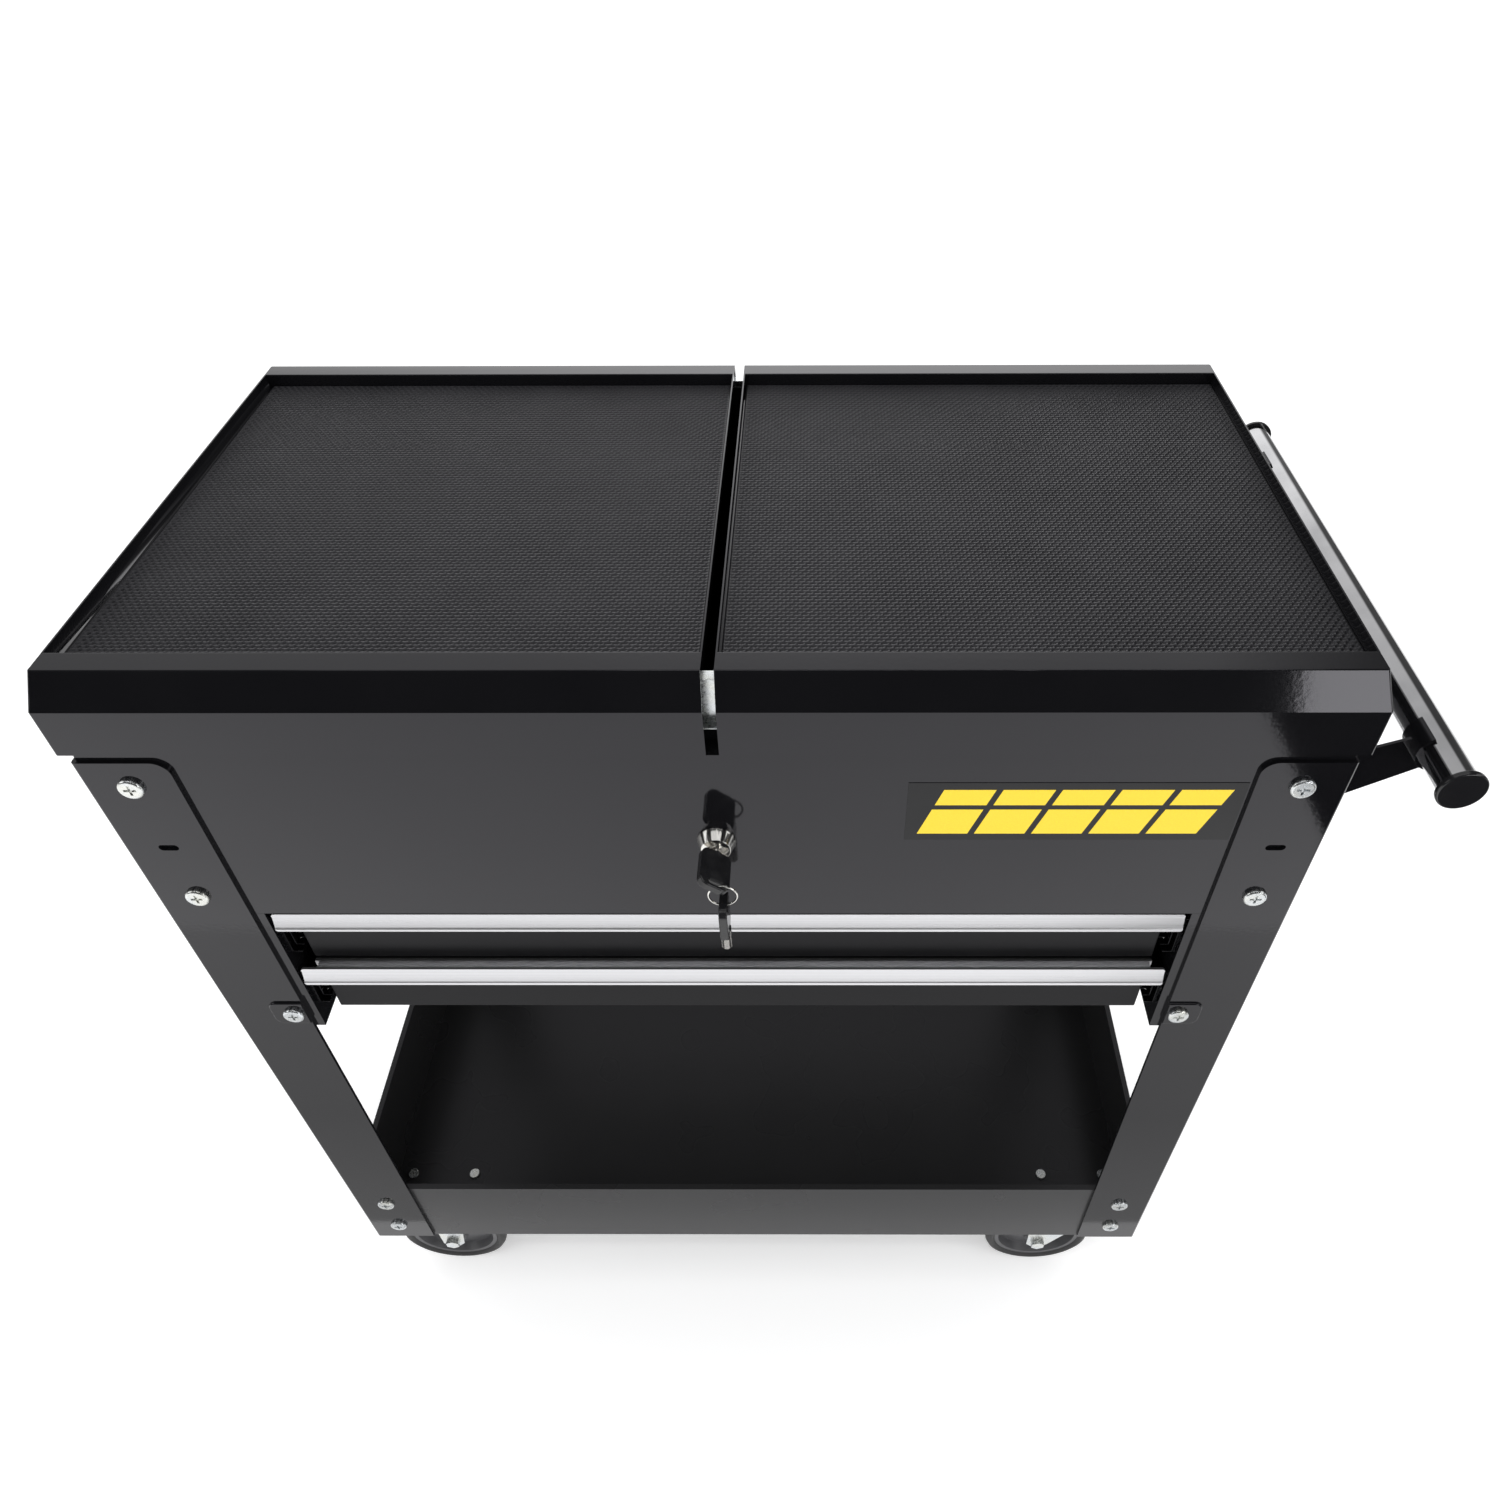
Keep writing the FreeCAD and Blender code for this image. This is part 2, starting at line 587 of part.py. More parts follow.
# ---------------------------------------------------------------- lower tray
def shelf_tray():
    """A deep open tray with rounded upright corners and a turned-in rim."""
    piece = Piece("shelf_tray")
    half = D.BoxSpan / 2
    front = D.BoxFront
    back = D.LidDepth - D.BoxFront
    low = D.TrayBottom
    rim_low = D.TrayRim - D.Sheet
    wall = D.Sheet
    hem = D.TrayHem
    piece.block((-half, half), (front, back), (low, D.TrayRim))
    piece.round(D.TrayCorner, lambda edge: edge_runs(edge, 2))
    piece.hollow((hem - half, half - hem), (front + hem, back - hem), (low + wall, D.TrayRim))
    piece.hollow((wall - half, half - wall), (front + wall, back - wall), (low + wall, rim_low))
    piece.round(D.TrayCorner - wall, lambda edge: edge_runs(edge, 2)
                and near(abs(edge_middle(edge).x), half - wall))
    x = half + D.LegThick - D.BoltInset
    holes = [(side * x, z, D.BoltHole) for side in (-1, 1) for z in (D.TrayBoltA, D.TrayBoltB)]
    piece.cut("XZ", front - 1, back + 1, circles=holes)
    sides = [(depth(D.SideBoltBack, b), D.SideBoltC, D.BoltHole) for _, b in ENDS]
    piece.cut("YZ", -half - 1, half + 1, circles=sides)
    plate_holes = [(x, y, D.BoltHole) for place in CASTERS for x, y in plate_bolts(*place[1:3])]
    piece.cut("XY", low - 1, low + wall + 1, circles=plate_holes)


# ---------------------------------------------------------------- drawer bay and drawers
def drawer_bay():
    """Side plates with bolted flanges, and the back sheet between them."""
    piece = Piece("drawer_bay")
    inside = D.BayInside / 2
    outside = inside + D.Sheet
    high = top - D.PanelDrop
    front = D.BoxFront
    back = D.LidDepth - D.BoxFront
    tip = outside + D.BayFlange
    for side in (-1, 1):
        piece.block((side * inside, side * outside), (front, back), (D.BayBottom, high))
        for low, far in ((front, front + D.Sheet), (back - D.Sheet, back)):
            piece.block((side * inside, side * tip), (low, far), (D.BayBottom, high))
    piece.block((-inside, inside), (back - D.Sheet, back), (D.BayBottom, high))
    piece.round(D.BayCorner, lambda edge: edge_runs(edge, 1)
                and near(edge_middle(edge).z, D.BayBottom)
                and near(abs(edge_middle(edge).x), tip))
    x = D.BoxSpan / 2 + D.LegThick - D.BossInset
    holes = [(side * x, top - D.BossDrop, D.BoltHole) for side in (-1, 1)]
    piece.cut("XZ", front - 1, back + 1, circles=holes)


def drawer_levels():
    return (("upper", formula(0)), ("lower", D.DrawerPitch))


def drawer_box(name, fall):
    """A folded open box with a turned-in lip along the top of its sides and back."""
    piece = Piece(name + "_drawer_box")
    half = D.DrawerSpan / 2
    high = top - D.DrawerDrop - fall
    low = high - D.DrawerTall
    front = D.DrawerFront
    back = front + D.DrawerDepth
    wall = D.Sheet
    piece.block((-half, half), (front, back), (low, high - wall))
    piece.round(D.DrawerCorner, lambda edge: edge_runs(edge, 2) or near(edge_middle(edge).z, low))
    piece.hollow((wall - half, half - wall), (front + wall, back - wall),
                 (low + wall, high - wall))
    lip = D.DrawerLip
    piece.add("XY", high - wall, high, [
        rectangle((-half, half), (front, back)),
        rectangle((lip - half, half - lip), (front + lip, back - lip))])


def drawer_pull(name, fall):
    """An extruded pull: a beaded strip that leans out at its foot, on a web off the drawer."""
    piece = Piece(name + "_drawer_pull")
    half = D.PullSpan / 2
    high = top - D.PullDrop - fall
    low = high - D.PullTall
    face = D.PullFront
    beads = face + D.PullBead
    rear = D.DrawerFront
    strip = face + D.PullWall
    web = high - D.PullWebDrop
    bead = D.PullBeadTall

    def lean(y, z):
        return y + D.PullLean * (z - low) / D.PullTall, z

    piece.add("YZ", -half, half, [[
        lean(face, low), lean(face, low + bead), lean(beads, low + bead + D.PullBead),
        lean(beads, high - bead - D.PullBead), lean(face, high - bead), lean(face, high),
        lean(strip, high), lean(strip, web), (rear - D.PullWall, web),
        (rear - D.PullWall, high - 1), (rear, high - 1), (rear, low), (rear - D.PullWall, low),
        (rear - D.PullWall, web - D.PullWall), lean(strip, web - D.PullWall),
        lean(strip, low)]])
    piece.cut("XZ", strip + D.PullLean, rear + 1, [
        rectangle((side * half, side * D.DrawerSpan / 2), (low - 1, high + 1))
        for side in (-1, 1)])
    piece.round(D.PullCorner, lambda edge: edge_runs(edge, 1)
                and near(abs(edge_middle(edge).x), half)
                and (near(edge_middle(edge).z, low) or near(edge_middle(edge).z, high)))


def drawer_slide_sections(set_off, half, deep, opens_in, levels):
    """C sections as (x, z) corners on both sides of each drawer level."""
    sections = []
    for fall in levels:
        middle = top - D.DrawerRailDrop - fall
        for side in (-1, 1):
            web = side * (D.BayInside / 2 - set_off)
            way = -side if opens_in else side
            sections.append(channel(web, way, middle, half, deep))
    return sections


def drawer_slides():
    front = D.DrawerRailFront
    back = front + D.DrawerSlideLong
    levels = [fall for _, fall in drawer_levels()]
    fixed = Piece("drawer_fixed_rails")
    fixed.add("XZ", front, back, drawer_slide_sections(
        0, D.SlideTall / 2, D.SlideOuterDeep, True, levels))
    for name, fall in drawer_levels():
        middle = Piece(name + "_drawer_middle_rails")
        middle.add("XZ", front + 4, back - 2, drawer_slide_sections(
            D.SlideMidSet, D.SlideMidTall / 2, D.SlideMidDeep, True, [fall]))
        runner = Piece(name + "_drawer_runners")
        runner.add("XZ", front + 8, back - 4, drawer_slide_sections(
            D.SlideThick, D.SlideRunnerTall / 2, D.SlideRunnerDeep, False, [fall]))


# ---------------------------------------------------------------- push handle
def handle():
    middle = top - D.HandleDrop
    tube = Piece("handle_tube")
    tube.add("XZ", D.HandleFront, D.HandleBack, circles=[
        (D.HandleOut, middle, D.HandleRadius),
        (D.HandleOut, middle, D.HandleRadius - D.HandleWall)])
    caps = Piece("handle_end_caps")
    bore = D.HandleRadius - D.HandleWall - 0.02
    for end, way in ((D.HandleFront, 1), (D.HandleBack, -1)):
        outer = end - way * D.CapThick
        plug = end + way * D.CapPlug
        disc = ordered(outer, end)
        stem = ordered(end, plug)
        caps.add("XZ", disc[0], disc[1], circles=[(D.HandleOut, middle, D.CapRadius)])
        caps.add("XZ", stem[0], stem[1], circles=[(D.HandleOut, middle, bore)])
        caps.round(D.CapRound, lambda edge: near(edge_middle(edge).y, outer)
                   and edge.Curve.TypeId == "Part::GeomCircle")


def handle_bracket(name, back):
    """A sloping plate from a leg to the tube, with a tab, a bottom flange and a cradle."""
    piece = Piece("handle_bracket_" + name)
    slope = math.radians(SIZES["BracketSlope"])
    rise = math.tan(slope)
    middle = top - D.HandleDrop
    wall = D.BoxSpan / 2 + D.LegThick
    reach = D.HandleOut - wall
    axis_low = middle - reach * rise
    half = D.BracketTall / 2
    y_near = depth(D.BracketY, back)
    y_far = depth(D.BracketY + D.BracketThick, back)
    inner_tab = depth(D.BracketY - D.BracketTab, back)
    flange = depth(D.BracketY + D.CradleLong / 2, back)
    piece.add("XZ", *ordered(y_near, y_far), [[
        (wall, axis_low - half), (D.HandleOut, middle - half),
        (D.HandleOut, middle + half * 0.4), (wall, axis_low + half)]])
    piece.add("XZ", *ordered(inner_tab, y_far), [rectangle(
        (wall, wall + D.BracketThick), (axis_low - half, axis_low + half))])
    piece.add("XZ", *ordered(y_near, flange), [[
        (wall, axis_low - half), (D.HandleOut, middle - half),
        (D.HandleOut, middle - half + D.BracketThick),
        (wall, axis_low - half + D.BracketThick)]])
    cradle = D.HandleRadius + D.CradleThick
    piece.add("XZ", *ordered(depth(D.BracketY - D.CradleLong / 2, back), flange),
              circles=[(D.HandleOut, middle, cradle)])
    wide = D.CradleLong * 3
    across = (math.cos(slope), math.sin(slope))
    along = (-math.sin(slope), math.cos(slope))
    corners = ((0, -1), (1, -1), (1, 1), (0, 1))
    piece.cut("XZ", 0, D.LidDepth, [[
        (D.HandleOut + wide * (a * across[0] + b * along[0]),
         middle + wide * (a * across[1] + b * along[1])) for a, b in corners]])
    piece.cut("XZ", 0, D.LidDepth, circles=[(D.HandleOut, middle, D.HandleRadius)])
    side_y = depth(D.SideBoltBack, back)
    piece.cut("YZ", wall - 1, wall + D.BracketThick + 1,
              circles=[(side_y, z, D.BoltHole) for z in (D.SideBoltA, D.SideBoltB)])


# ---------------------------------------------------------------- lock and keys
def lock():
    centre = (D.LockX, D.BoxFront, top - D.LockDrop)
    proud = -D.BezelProud
    housing = Piece("lock_housing", centre)
    housing.turn([(proud, D.PlugRadius + D.PlugPlay), (proud, D.BezelFace),
                  (-1.5, D.BezelRadius), (0, D.BezelRadius), (0, D.BarrelRadius),
                  (D.BarrelLong, D.BarrelRadius), (D.BarrelLong, D.PlugRadius + D.PlugPlay)])
    nut = Piece("lock_nut", centre)
    nut.add("XZ", D.Sheet, D.Sheet + D.LockNutThick, [hexagon(0, 0, D.LockNutRadius)])
    nut.cut("XZ", D.Sheet - 1, D.Sheet + D.LockNutThick + 1,
            circles=[(0, 0, D.BarrelRadius + 0.02)])

    roll = FreeCAD.Rotation(FreeCAD.Vector(0, 1, 0), SIZES["KeyRoll"])
    plug = Piece("lock_plug", centre, roll)
    face = proud - D.PlugProud
    end = D.BarrelLong + 0.5
    pin = D.KeyBoreRadius - D.KeyGroovePlay
    bore = D.KeyBarrelRadius + D.KeyGroovePlay
    groove = face + D.KeyBarrelLong - D.KeyGap + 0.5
    plug.turn([(face, 0), (face, pin), (groove, pin), (groove, bore), (face, bore),
               (face, D.PlugRadius), (end, D.PlugRadius), (end, 0)])

    cam = Piece("lock_cam", centre, roll)
    cam.add("XZ", end, end + D.CamThick, [rectangle(
        (-D.CamLong, D.CamWide / 2), (-D.CamWide / 2, D.CamWide / 2))])
    cam.round(D.CamWide / 2 - 0.1, lambda edge: edge_runs(edge, 1))

    key_shape(Piece("lock_key", (D.LockX, key_front(), centre[2]), roll))


def key_front():
    """How far out the head of the key in the lock reaches."""
    return D.BoxFront - D.BezelProud - D.PlugProud - D.KeyGap - D.KeyHeadLong


def key_shape(key):
    """A flat head from y = 0 with a slotted eye, then a tubular barrel towards +Y."""
    half = D.KeyHeadWide / 2
    thick = D.KeyHeadThick / 2
    barrel_end = D.KeyHeadLong + D.KeyBarrelLong
    key.add("XY", -thick, thick, [rectangle((-half, half), (0, D.KeyHeadLong))])
    key.round(D.KeyHeadRound, lambda edge: edge_runs(edge, 2))
    key.round(D.KeyHeadEdge, lambda edge: near(abs(edge_middle(edge).z), thick))
    key.cut_slot("XY", -thick - 1, thick + 1, (D.KeyEyeX, D.KeyEyeBack),
                 D.KeyEyeLong, D.KeyEyeWide)
    key.add("XZ", D.KeyHeadLong - 4, D.KeyHeadLong + D.KeyGap,
            circles=[(0, 0, D.KeyBarrelRadius)])
    key.add("XZ", D.KeyHeadLong + D.KeyGap, barrel_end,
            circles=[(0, 0, D.KeyBarrelRadius), (0, 0, D.KeyBoreRadius)])


def key_ring():
    """A split ring through the eye of the key, with the spare key hanging from it."""
    roll = math.radians(SIZES["KeyRoll"])
    centre = (D.LockX + D.RingX * math.cos(roll) + D.RingZ * math.sin(roll),
              key_front() + D.RingBack,
              top - D.LockDrop - D.RingX * math.sin(roll) + D.RingZ * math.cos(roll))
    ring = doc.addObject("Part::Torus", "split_ring")
    ring.Label = "split_ring"
    bind(ring, "Radius1", D.RingRadius)
    bind(ring, "Radius2", D.RingWire)
    upright = FreeCAD.Rotation(FreeCAD.Vector(1, 0, 0), -90)
    ring.Placement = FreeCAD.Placement(FreeCAD.Vector(), upright)
    for name, shift, place in zip("xyz", (D.CartX, D.CartY, 0), centre):
        bind(ring, "Placement.Base." + name, formula(shift) + place)

    hanging = FreeCAD.Rotation(FreeCAD.Vector(0, 0, 1), -90) * upright
    bridge = D.KeyEyeBack - D.KeyEyeWide / 2
    head_top = centre[2] - D.RingRadius + D.RingWire + D.RingSag + bridge
    key_shape(Piece("spare_key", (centre[0], centre[1], head_top), hanging))


# ---------------------------------------------------------------- casters
CASTERS = (
    ("swivel_front", D.CasterX, D.CasterFront, True),
    ("swivel_back", D.CasterX, D.CasterBack, True),
    ("rigid_front", -D.CasterX, D.CasterFront, False),
    ("rigid_back", -D.CasterX, D.CasterBack, False),
)


def plate_bolts(x, y):
    return [(x + a * D.PlateBoltX / 2, y + b * D.PlateBoltY / 2)
            for a in (-1, 1) for b in (-1, 1)]


def caster_plate(piece, x, y):
    """The top plate under the tray."""
    high = D.TrayBottom
    low = high - D.PlateThick
    half_x = D.PlateLong / 2
    half_y = D.PlateWide / 2
    piece.block((x - half_x, x + half_x), (y - half_y, y + half_y), (low, high))
    piece.cut("XY", low - 1, high + 1,
              circles=[(a, b, D.BoltHole) for a, b in plate_bolts(x, y)])


def fork_sides(piece, x, y, trail, crown_high):
    """Two cheeks from the crown down to the axle, on both sides of the wheel."""
    axle = D.WheelRadius
    boss = D.ForkBoss
    inside = D.ForkInside / 2
    low = crown_high - D.CrownThick
    for side in (-1, 1):
        walls = ordered(y + side * inside, y + side * (inside + D.ForkThick))
        piece.add("XZ", *walls, [[
            (x - trail - boss, axle - boss * 0.4), (x - trail - boss * 0.4, axle - boss),
            (x - trail + boss * 0.4, axle - boss), (x - trail + boss, axle - boss * 0.4),
            (x + D.RaceRadius, low), (x + D.RaceRadius, crown_high),
            (x - trail - D.RaceRadius * 0.55, crown_high), (x - trail - D.RaceRadius * 0.55, low)]])
    piece.cut("XZ", y - inside - D.ForkThick - 1, y + inside + D.ForkThick + 1,
              circles=[(x - trail, axle, D.AxleRadius)])


def swivel_plates():
    """The fixed halves of the two swivels: a plate, a race cup and its bore."""
    piece = Piece("swivel_plates")
    for _, x, y, swivels in CASTERS:
        if not swivels:
            continue
        caster_plate(piece, x, y)
        high = D.TrayBottom - D.PlateThick
        low = high - D.RaceTall
        piece.add("XY", low, high, circles=[(x, y, D.RaceRadius), (x, y, D.StubBore)])


def swivel_fork(name, x, y):
    piece = Piece(name + "_fork")
    cup_low = D.TrayBottom - D.PlateThick - D.RaceTall
    crown_high = cup_low - D.RacePlay
    low = crown_high - D.CrownThick
    inside = D.ForkInside / 2
    piece.add("XY", low, crown_high, circles=[(x, y, D.RaceRadius)])
    piece.block((x - D.Trail - D.RaceRadius * 0.55, x + D.RaceRadius * 0.7),
                (y - inside - D.ForkThick, y + inside + D.ForkThick), (low, crown_high))
    piece.add("XY", crown_high, cup_low + D.StubTall, circles=[(x, y, D.StubRadius)])
    fork_sides(piece, x, y, D.Trail, crown_high)
    pivot_x, pivot_z = pedal_pivot(x)
    outside = inside + D.ForkThick
    piece.cut("XZ", y - outside - 1, y + outside + 1,
              circles=[(pivot_x, pivot_z, D.PedalPinBore)])


def pedal_pivot(x):
    """(x, z) of the pin that the brake pedal turns on, just under the fork's crown."""
    crown_low = D.TrayBottom - D.PlateThick - D.RaceTall - D.RacePlay - D.CrownThick
    return x - D.Trail - D.RaceRadius * 0.2, crown_low - 4


def rigid_forks():
    piece = Piece("rigid_forks")
    inside = D.ForkInside / 2
    for _, x, y, swivels in CASTERS:
        if swivels:
            continue
        caster_plate(piece, x, y)
        high = D.TrayBottom - D.PlateThick
        fork_sides(piece, x, y, formula(0), high)
        piece.block((x - D.RaceRadius * 0.55, x + D.RaceRadius),
                    (y - inside - D.ForkThick, y + inside + D.ForkThick),
                    (high - D.CrownThick, high))


def wheel(name, x, y, trail):
    """A moulded hub with a web and a rounded tyre, both turned about the axle."""
    centre = (x - trail, y, D.WheelRadius)
    tyre = Piece(name + "_tyre", centre)
    half = D.WheelWide / 2
    seat = D.WheelRadius - D.TyreDeep
    tyre.turn([(-half + 3, seat), (-half, seat + 4), (-half, D.WheelRadius - 6),
               (-half + 2, D.WheelRadius - 2), (-half + 6, D.WheelRadius),
               (half - 6, D.WheelRadius), (half - 2, D.WheelRadius - 2),
               (half, D.WheelRadius - 6), (half, seat + 4), (half - 3, seat)])
    hub = Piece(name + "_hub", centre)
    rim = half - 3
    core = D.HubWide / 2 - 0.1
    hub.turn([(-core, D.HubBore), (-core, D.HubRadius - 3), (-core + 3, D.HubRadius),
              (-4, D.HubRadius + 3), (-3, seat - 8), (-rim, seat - 5), (-rim, seat),
              (rim, seat), (rim, seat - 5), (3, seat - 8), (4, D.HubRadius + 3),
              (core - 3, D.HubRadius), (core, D.HubRadius - 3), (core, D.HubBore)])


def axle(piece, x, y, trail):
    """A bolt through the fork and the hub, with its head and nut outside the cheeks."""
    outside = D.ForkInside / 2 + D.ForkThick
    centre = (x - trail, D.WheelRadius)
    piece.add("XZ", y - outside, y + outside, circles=[(*centre, D.AxleRadius)])
    for low in (y - outside - 5, y + outside):
        piece.add("XZ", low, low + 5, [hexagon(*centre, D.AxleRadius * 1.75)])


def brake_pedal(name, x, y):
    """A foot lever over the tyre that turns on a pin through the fork's cheeks."""
    piece = Piece(name + "_brake_pedal")
    pivot_x, pivot_z = pedal_pivot(x)
    tip = x - D.Trail - D.PedalReach
    thick = D.PedalThick
    neck = pivot_x - D.PedalNeck
    neck_z = pivot_z + 2.2
    tip_z = pivot_z - D.PedalFall
    half = D.ForkInside / 2 - D.PedalSide
    pin = D.ForkInside / 2 + D.ForkThick + 1.5
    piece.add("XZ", y - half, y + half, [[
        (pivot_x + 3, pivot_z - 2.6), (pivot_x + 3, pivot_z + 2.6), (neck, neck_z),
        (tip, tip_z), (tip, tip_z - thick), (neck, neck_z - thick)]])
    pad = tip + D.PedalPad
    pad_z = tip_z + D.PedalPadRise
    piece.add("XZ", y - D.PedalWide / 2, y + D.PedalWide / 2, [[
        (pad, pad_z), (tip, tip_z), (tip, tip_z - thick), (pad, pad_z - thick)]])
    piece.add("XZ", y - pin, y + pin, circles=[(pivot_x, pivot_z, D.PedalPin)])


def casters():
    swivel_plates()
    rigid_forks()
    rigid_axles = Piece("rigid_axles")
    for name, x, y, swivels in CASTERS:
        trail = D.Trail if swivels else formula(0)
        wheel(name, x, y, trail)
        if swivels:
            swivel_fork(name, x, y)
            axle(Piece(name + "_axle"), x, y, trail)
            brake_pedal(name, x, y)
        else:
            axle(rigid_axles, x, y, trail)
    bolts = Piece("caster_bolts")
    places = [spot for _, x, y, _ in CASTERS for spot in plate_bolts(x, y)]
    plate_low = D.TrayBottom - D.PlateThick
    floor = D.TrayBottom + D.Sheet
    bolts.add("XY", plate_low - 6, plate_low, [hexagon(a, b, D.NutRadius) for a, b in places])
    bolts.add("XY", plate_low, floor, circles=[(a, b, D.BoltRadius) for a, b in places])
    bolts.add("XY", floor, floor + 3, circles=[(a, b, D.NutRadius) for a, b in places])


# ---------------------------------------------------------------- assembly
def build():
    for name, side in SIDES:
        lid_pan(name, side)
        lid_mat(name, side)
        for end, back in ENDS:
            leg("%s_%s" % (end, name), side, back)
    lid_slides()
    front_panel()
    box_shell()
    box_floor()
    badge()
    leg_fasteners()
    shelf_tray()
    drawer_bay()
    for name, fall in drawer_levels():
        drawer_box(name, fall)
        drawer_pull(name, fall)
    drawer_slides()
    handle()
    for end, back in ENDS:
        handle_bracket(end, back)
    lock()
    key_ring()
    casters()
    doc.recompute()


def export():
    """Checks every object, then writes each sub-part to its own file."""
    broken = [o.Label for o in doc.Objects if "Invalid" in o.State or "Error" in o.State]
    if broken:
        raise ValueError("failed objects: " + ", ".join(broken))
    pieces = [o for o in doc.Objects if o.TypeId in ("PartDesign::Body", "Part::Torus")]
    for piece in pieces:
        shape = piece.Shape
        if shape.isNull() or not shape.isValid() or not shape.Solids:
            raise ValueError("bad shape: " + piece.Label)
    os.makedirs("parts", exist_ok=True)
    for piece in pieces:
        piece.Shape.exportStep("parts/%s.step" % piece.Label)
    print("%d sub-parts written" % len(pieces))


build()
export()
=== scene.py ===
import json
import math

import bpy
import numpy as np
from mathutils import Matrix, Vector


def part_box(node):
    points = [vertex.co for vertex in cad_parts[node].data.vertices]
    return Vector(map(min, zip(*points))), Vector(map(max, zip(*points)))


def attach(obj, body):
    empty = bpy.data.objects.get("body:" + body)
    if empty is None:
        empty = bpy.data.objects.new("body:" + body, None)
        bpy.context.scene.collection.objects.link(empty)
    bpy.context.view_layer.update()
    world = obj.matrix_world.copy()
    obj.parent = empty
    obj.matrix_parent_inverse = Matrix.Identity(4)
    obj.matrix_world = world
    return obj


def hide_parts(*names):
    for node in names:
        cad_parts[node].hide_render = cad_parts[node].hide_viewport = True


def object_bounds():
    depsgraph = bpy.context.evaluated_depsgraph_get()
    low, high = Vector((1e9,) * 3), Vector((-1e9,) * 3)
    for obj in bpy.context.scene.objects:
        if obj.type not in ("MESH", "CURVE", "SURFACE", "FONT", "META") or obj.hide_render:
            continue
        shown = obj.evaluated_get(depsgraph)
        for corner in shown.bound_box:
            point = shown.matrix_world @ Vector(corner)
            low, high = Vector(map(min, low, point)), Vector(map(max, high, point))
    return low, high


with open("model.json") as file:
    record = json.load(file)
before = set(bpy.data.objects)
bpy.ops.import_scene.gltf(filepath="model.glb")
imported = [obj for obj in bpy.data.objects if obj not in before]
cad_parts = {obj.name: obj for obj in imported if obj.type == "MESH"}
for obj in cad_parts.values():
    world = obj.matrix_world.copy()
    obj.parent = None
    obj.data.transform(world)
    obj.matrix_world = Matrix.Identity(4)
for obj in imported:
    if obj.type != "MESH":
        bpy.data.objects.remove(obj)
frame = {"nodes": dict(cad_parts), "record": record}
cad_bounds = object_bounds()
nodes = frame["nodes"]
scene = bpy.context.scene
MM = 0.001
# mesh attribute of the mats: 0 on the face, 1 down in a hole; it darkens the holes' colour as painted
# shade
CELL_SHADE_DEPTH = "cell_shade_depth"
# specular tint of the black finishes
COOL_SHEEN = (0.95, 0.935, 1.0, 1)
# sockets of a Mix node that mixes colours
MIX_FACTOR = 0
MIX_FIRST = 6
MIX_SECOND = 7
MIX_RESULT = 2


# ---------------------------------------------------------------- material helpers
def new_material(name):
    """A material with an empty Principled shader, and its node tree."""
    material = bpy.data.materials.new(name)
    material.use_nodes = True
    tree = material.node_tree
    shader = next(n for n in tree.nodes if n.type == "BSDF_PRINCIPLED")
    return material, tree, shader


def feed(tree, entry, value):
    """Links a socket to an input, or sets the input to a fixed value."""
    if isinstance(value, bpy.types.NodeSocket):
        tree.links.new(value, entry)
    else:
        entry.default_value = value


def node(tree, kind, **inputs):
    """Adds a node. Each keyword names one of its inputs."""
    made = tree.nodes.new(kind)
    for key, value in inputs.items():
        feed(tree, made.inputs[key.replace("_", " ")], value)
    return made


def blend(tree, factor, first, second):
    """Mixes two colours by a 0 to 1 value."""
    made = tree.nodes.new("ShaderNodeMix")
    made.data_type = "RGBA"
    for index, value in ((MIX_FACTOR, factor), (MIX_FIRST, first), (MIX_SECOND, second)):
        feed(tree, made.inputs[index], value)
    return made.outputs[MIX_RESULT]


def maths(tree, operation, first, second):
    """The result of one operation on two values."""
    made = tree.nodes.new("ShaderNodeMath")
    made.operation = operation
    feed(tree, made.inputs[0], first)
    feed(tree, made.inputs[1], second)
    return made.outputs[0]


def along_axis(tree, vector, axis):
    """One coordinate of a vector."""
    split = tree.nodes.new("ShaderNodeSeparateXYZ")
    tree.links.new(vector, split.inputs[0])
    return split.outputs[axis]


def place(tree, scale=(1, 1, 1)):
    """The piece's own coordinates in metres, scaled along each axis."""
    coords = tree.nodes.new("ShaderNodeTexCoord")
    mapping = node(tree, "ShaderNodeMapping", Scale=scale)
    tree.links.new(coords.outputs["Object"], mapping.inputs["Vector"])
    return mapping.outputs["Vector"]


def noise(tree, vector, scale, detail=3.0, roughness=0.55):
    """A 0 to 1 noise over the piece."""
    made = node(tree, "ShaderNodeTexNoise", Vector=vector, Scale=scale, Detail=detail,
                Roughness=roughness)
    return made.outputs["Fac"]


def ramp(tree, value, low, high, at=(0.3, 0.7)):
    """Maps a 0 to 1 value between two numbers."""
    made = tree.nodes.new("ShaderNodeMapRange")
    tree.links.new(value, made.inputs["Value"])
    made.inputs["From Min"].default_value = at[0]
    made.inputs["From Max"].default_value = at[1]
    made.inputs["To Min"].default_value = low
    made.inputs["To Max"].default_value = high
    return made.outputs["Result"]


def tint(tree, value, dark, light, at=(0.3, 0.7)):
    """Maps a 0 to 1 value between two colours."""
    made = tree.nodes.new("ShaderNodeValToRGB")
    tree.links.new(value, made.inputs["Fac"])
    made.color_ramp.elements[0].position = at[0]
    made.color_ramp.elements[1].position = at[1]
    made.color_ramp.elements[0].color = (*dark, 1)
    made.color_ramp.elements[1].color = (*light, 1)
    return made.outputs["Color"]


def bump(tree, height, distance, strength, below=None):
    """Normals of a 0 to 1 height, distance in metres, on top of the normals below it."""
    made = node(tree, "ShaderNodeBump", Height=height, Distance=distance, Strength=strength)
    if below is not None:
        tree.links.new(below, made.inputs["Normal"])
    return made.outputs["Normal"]


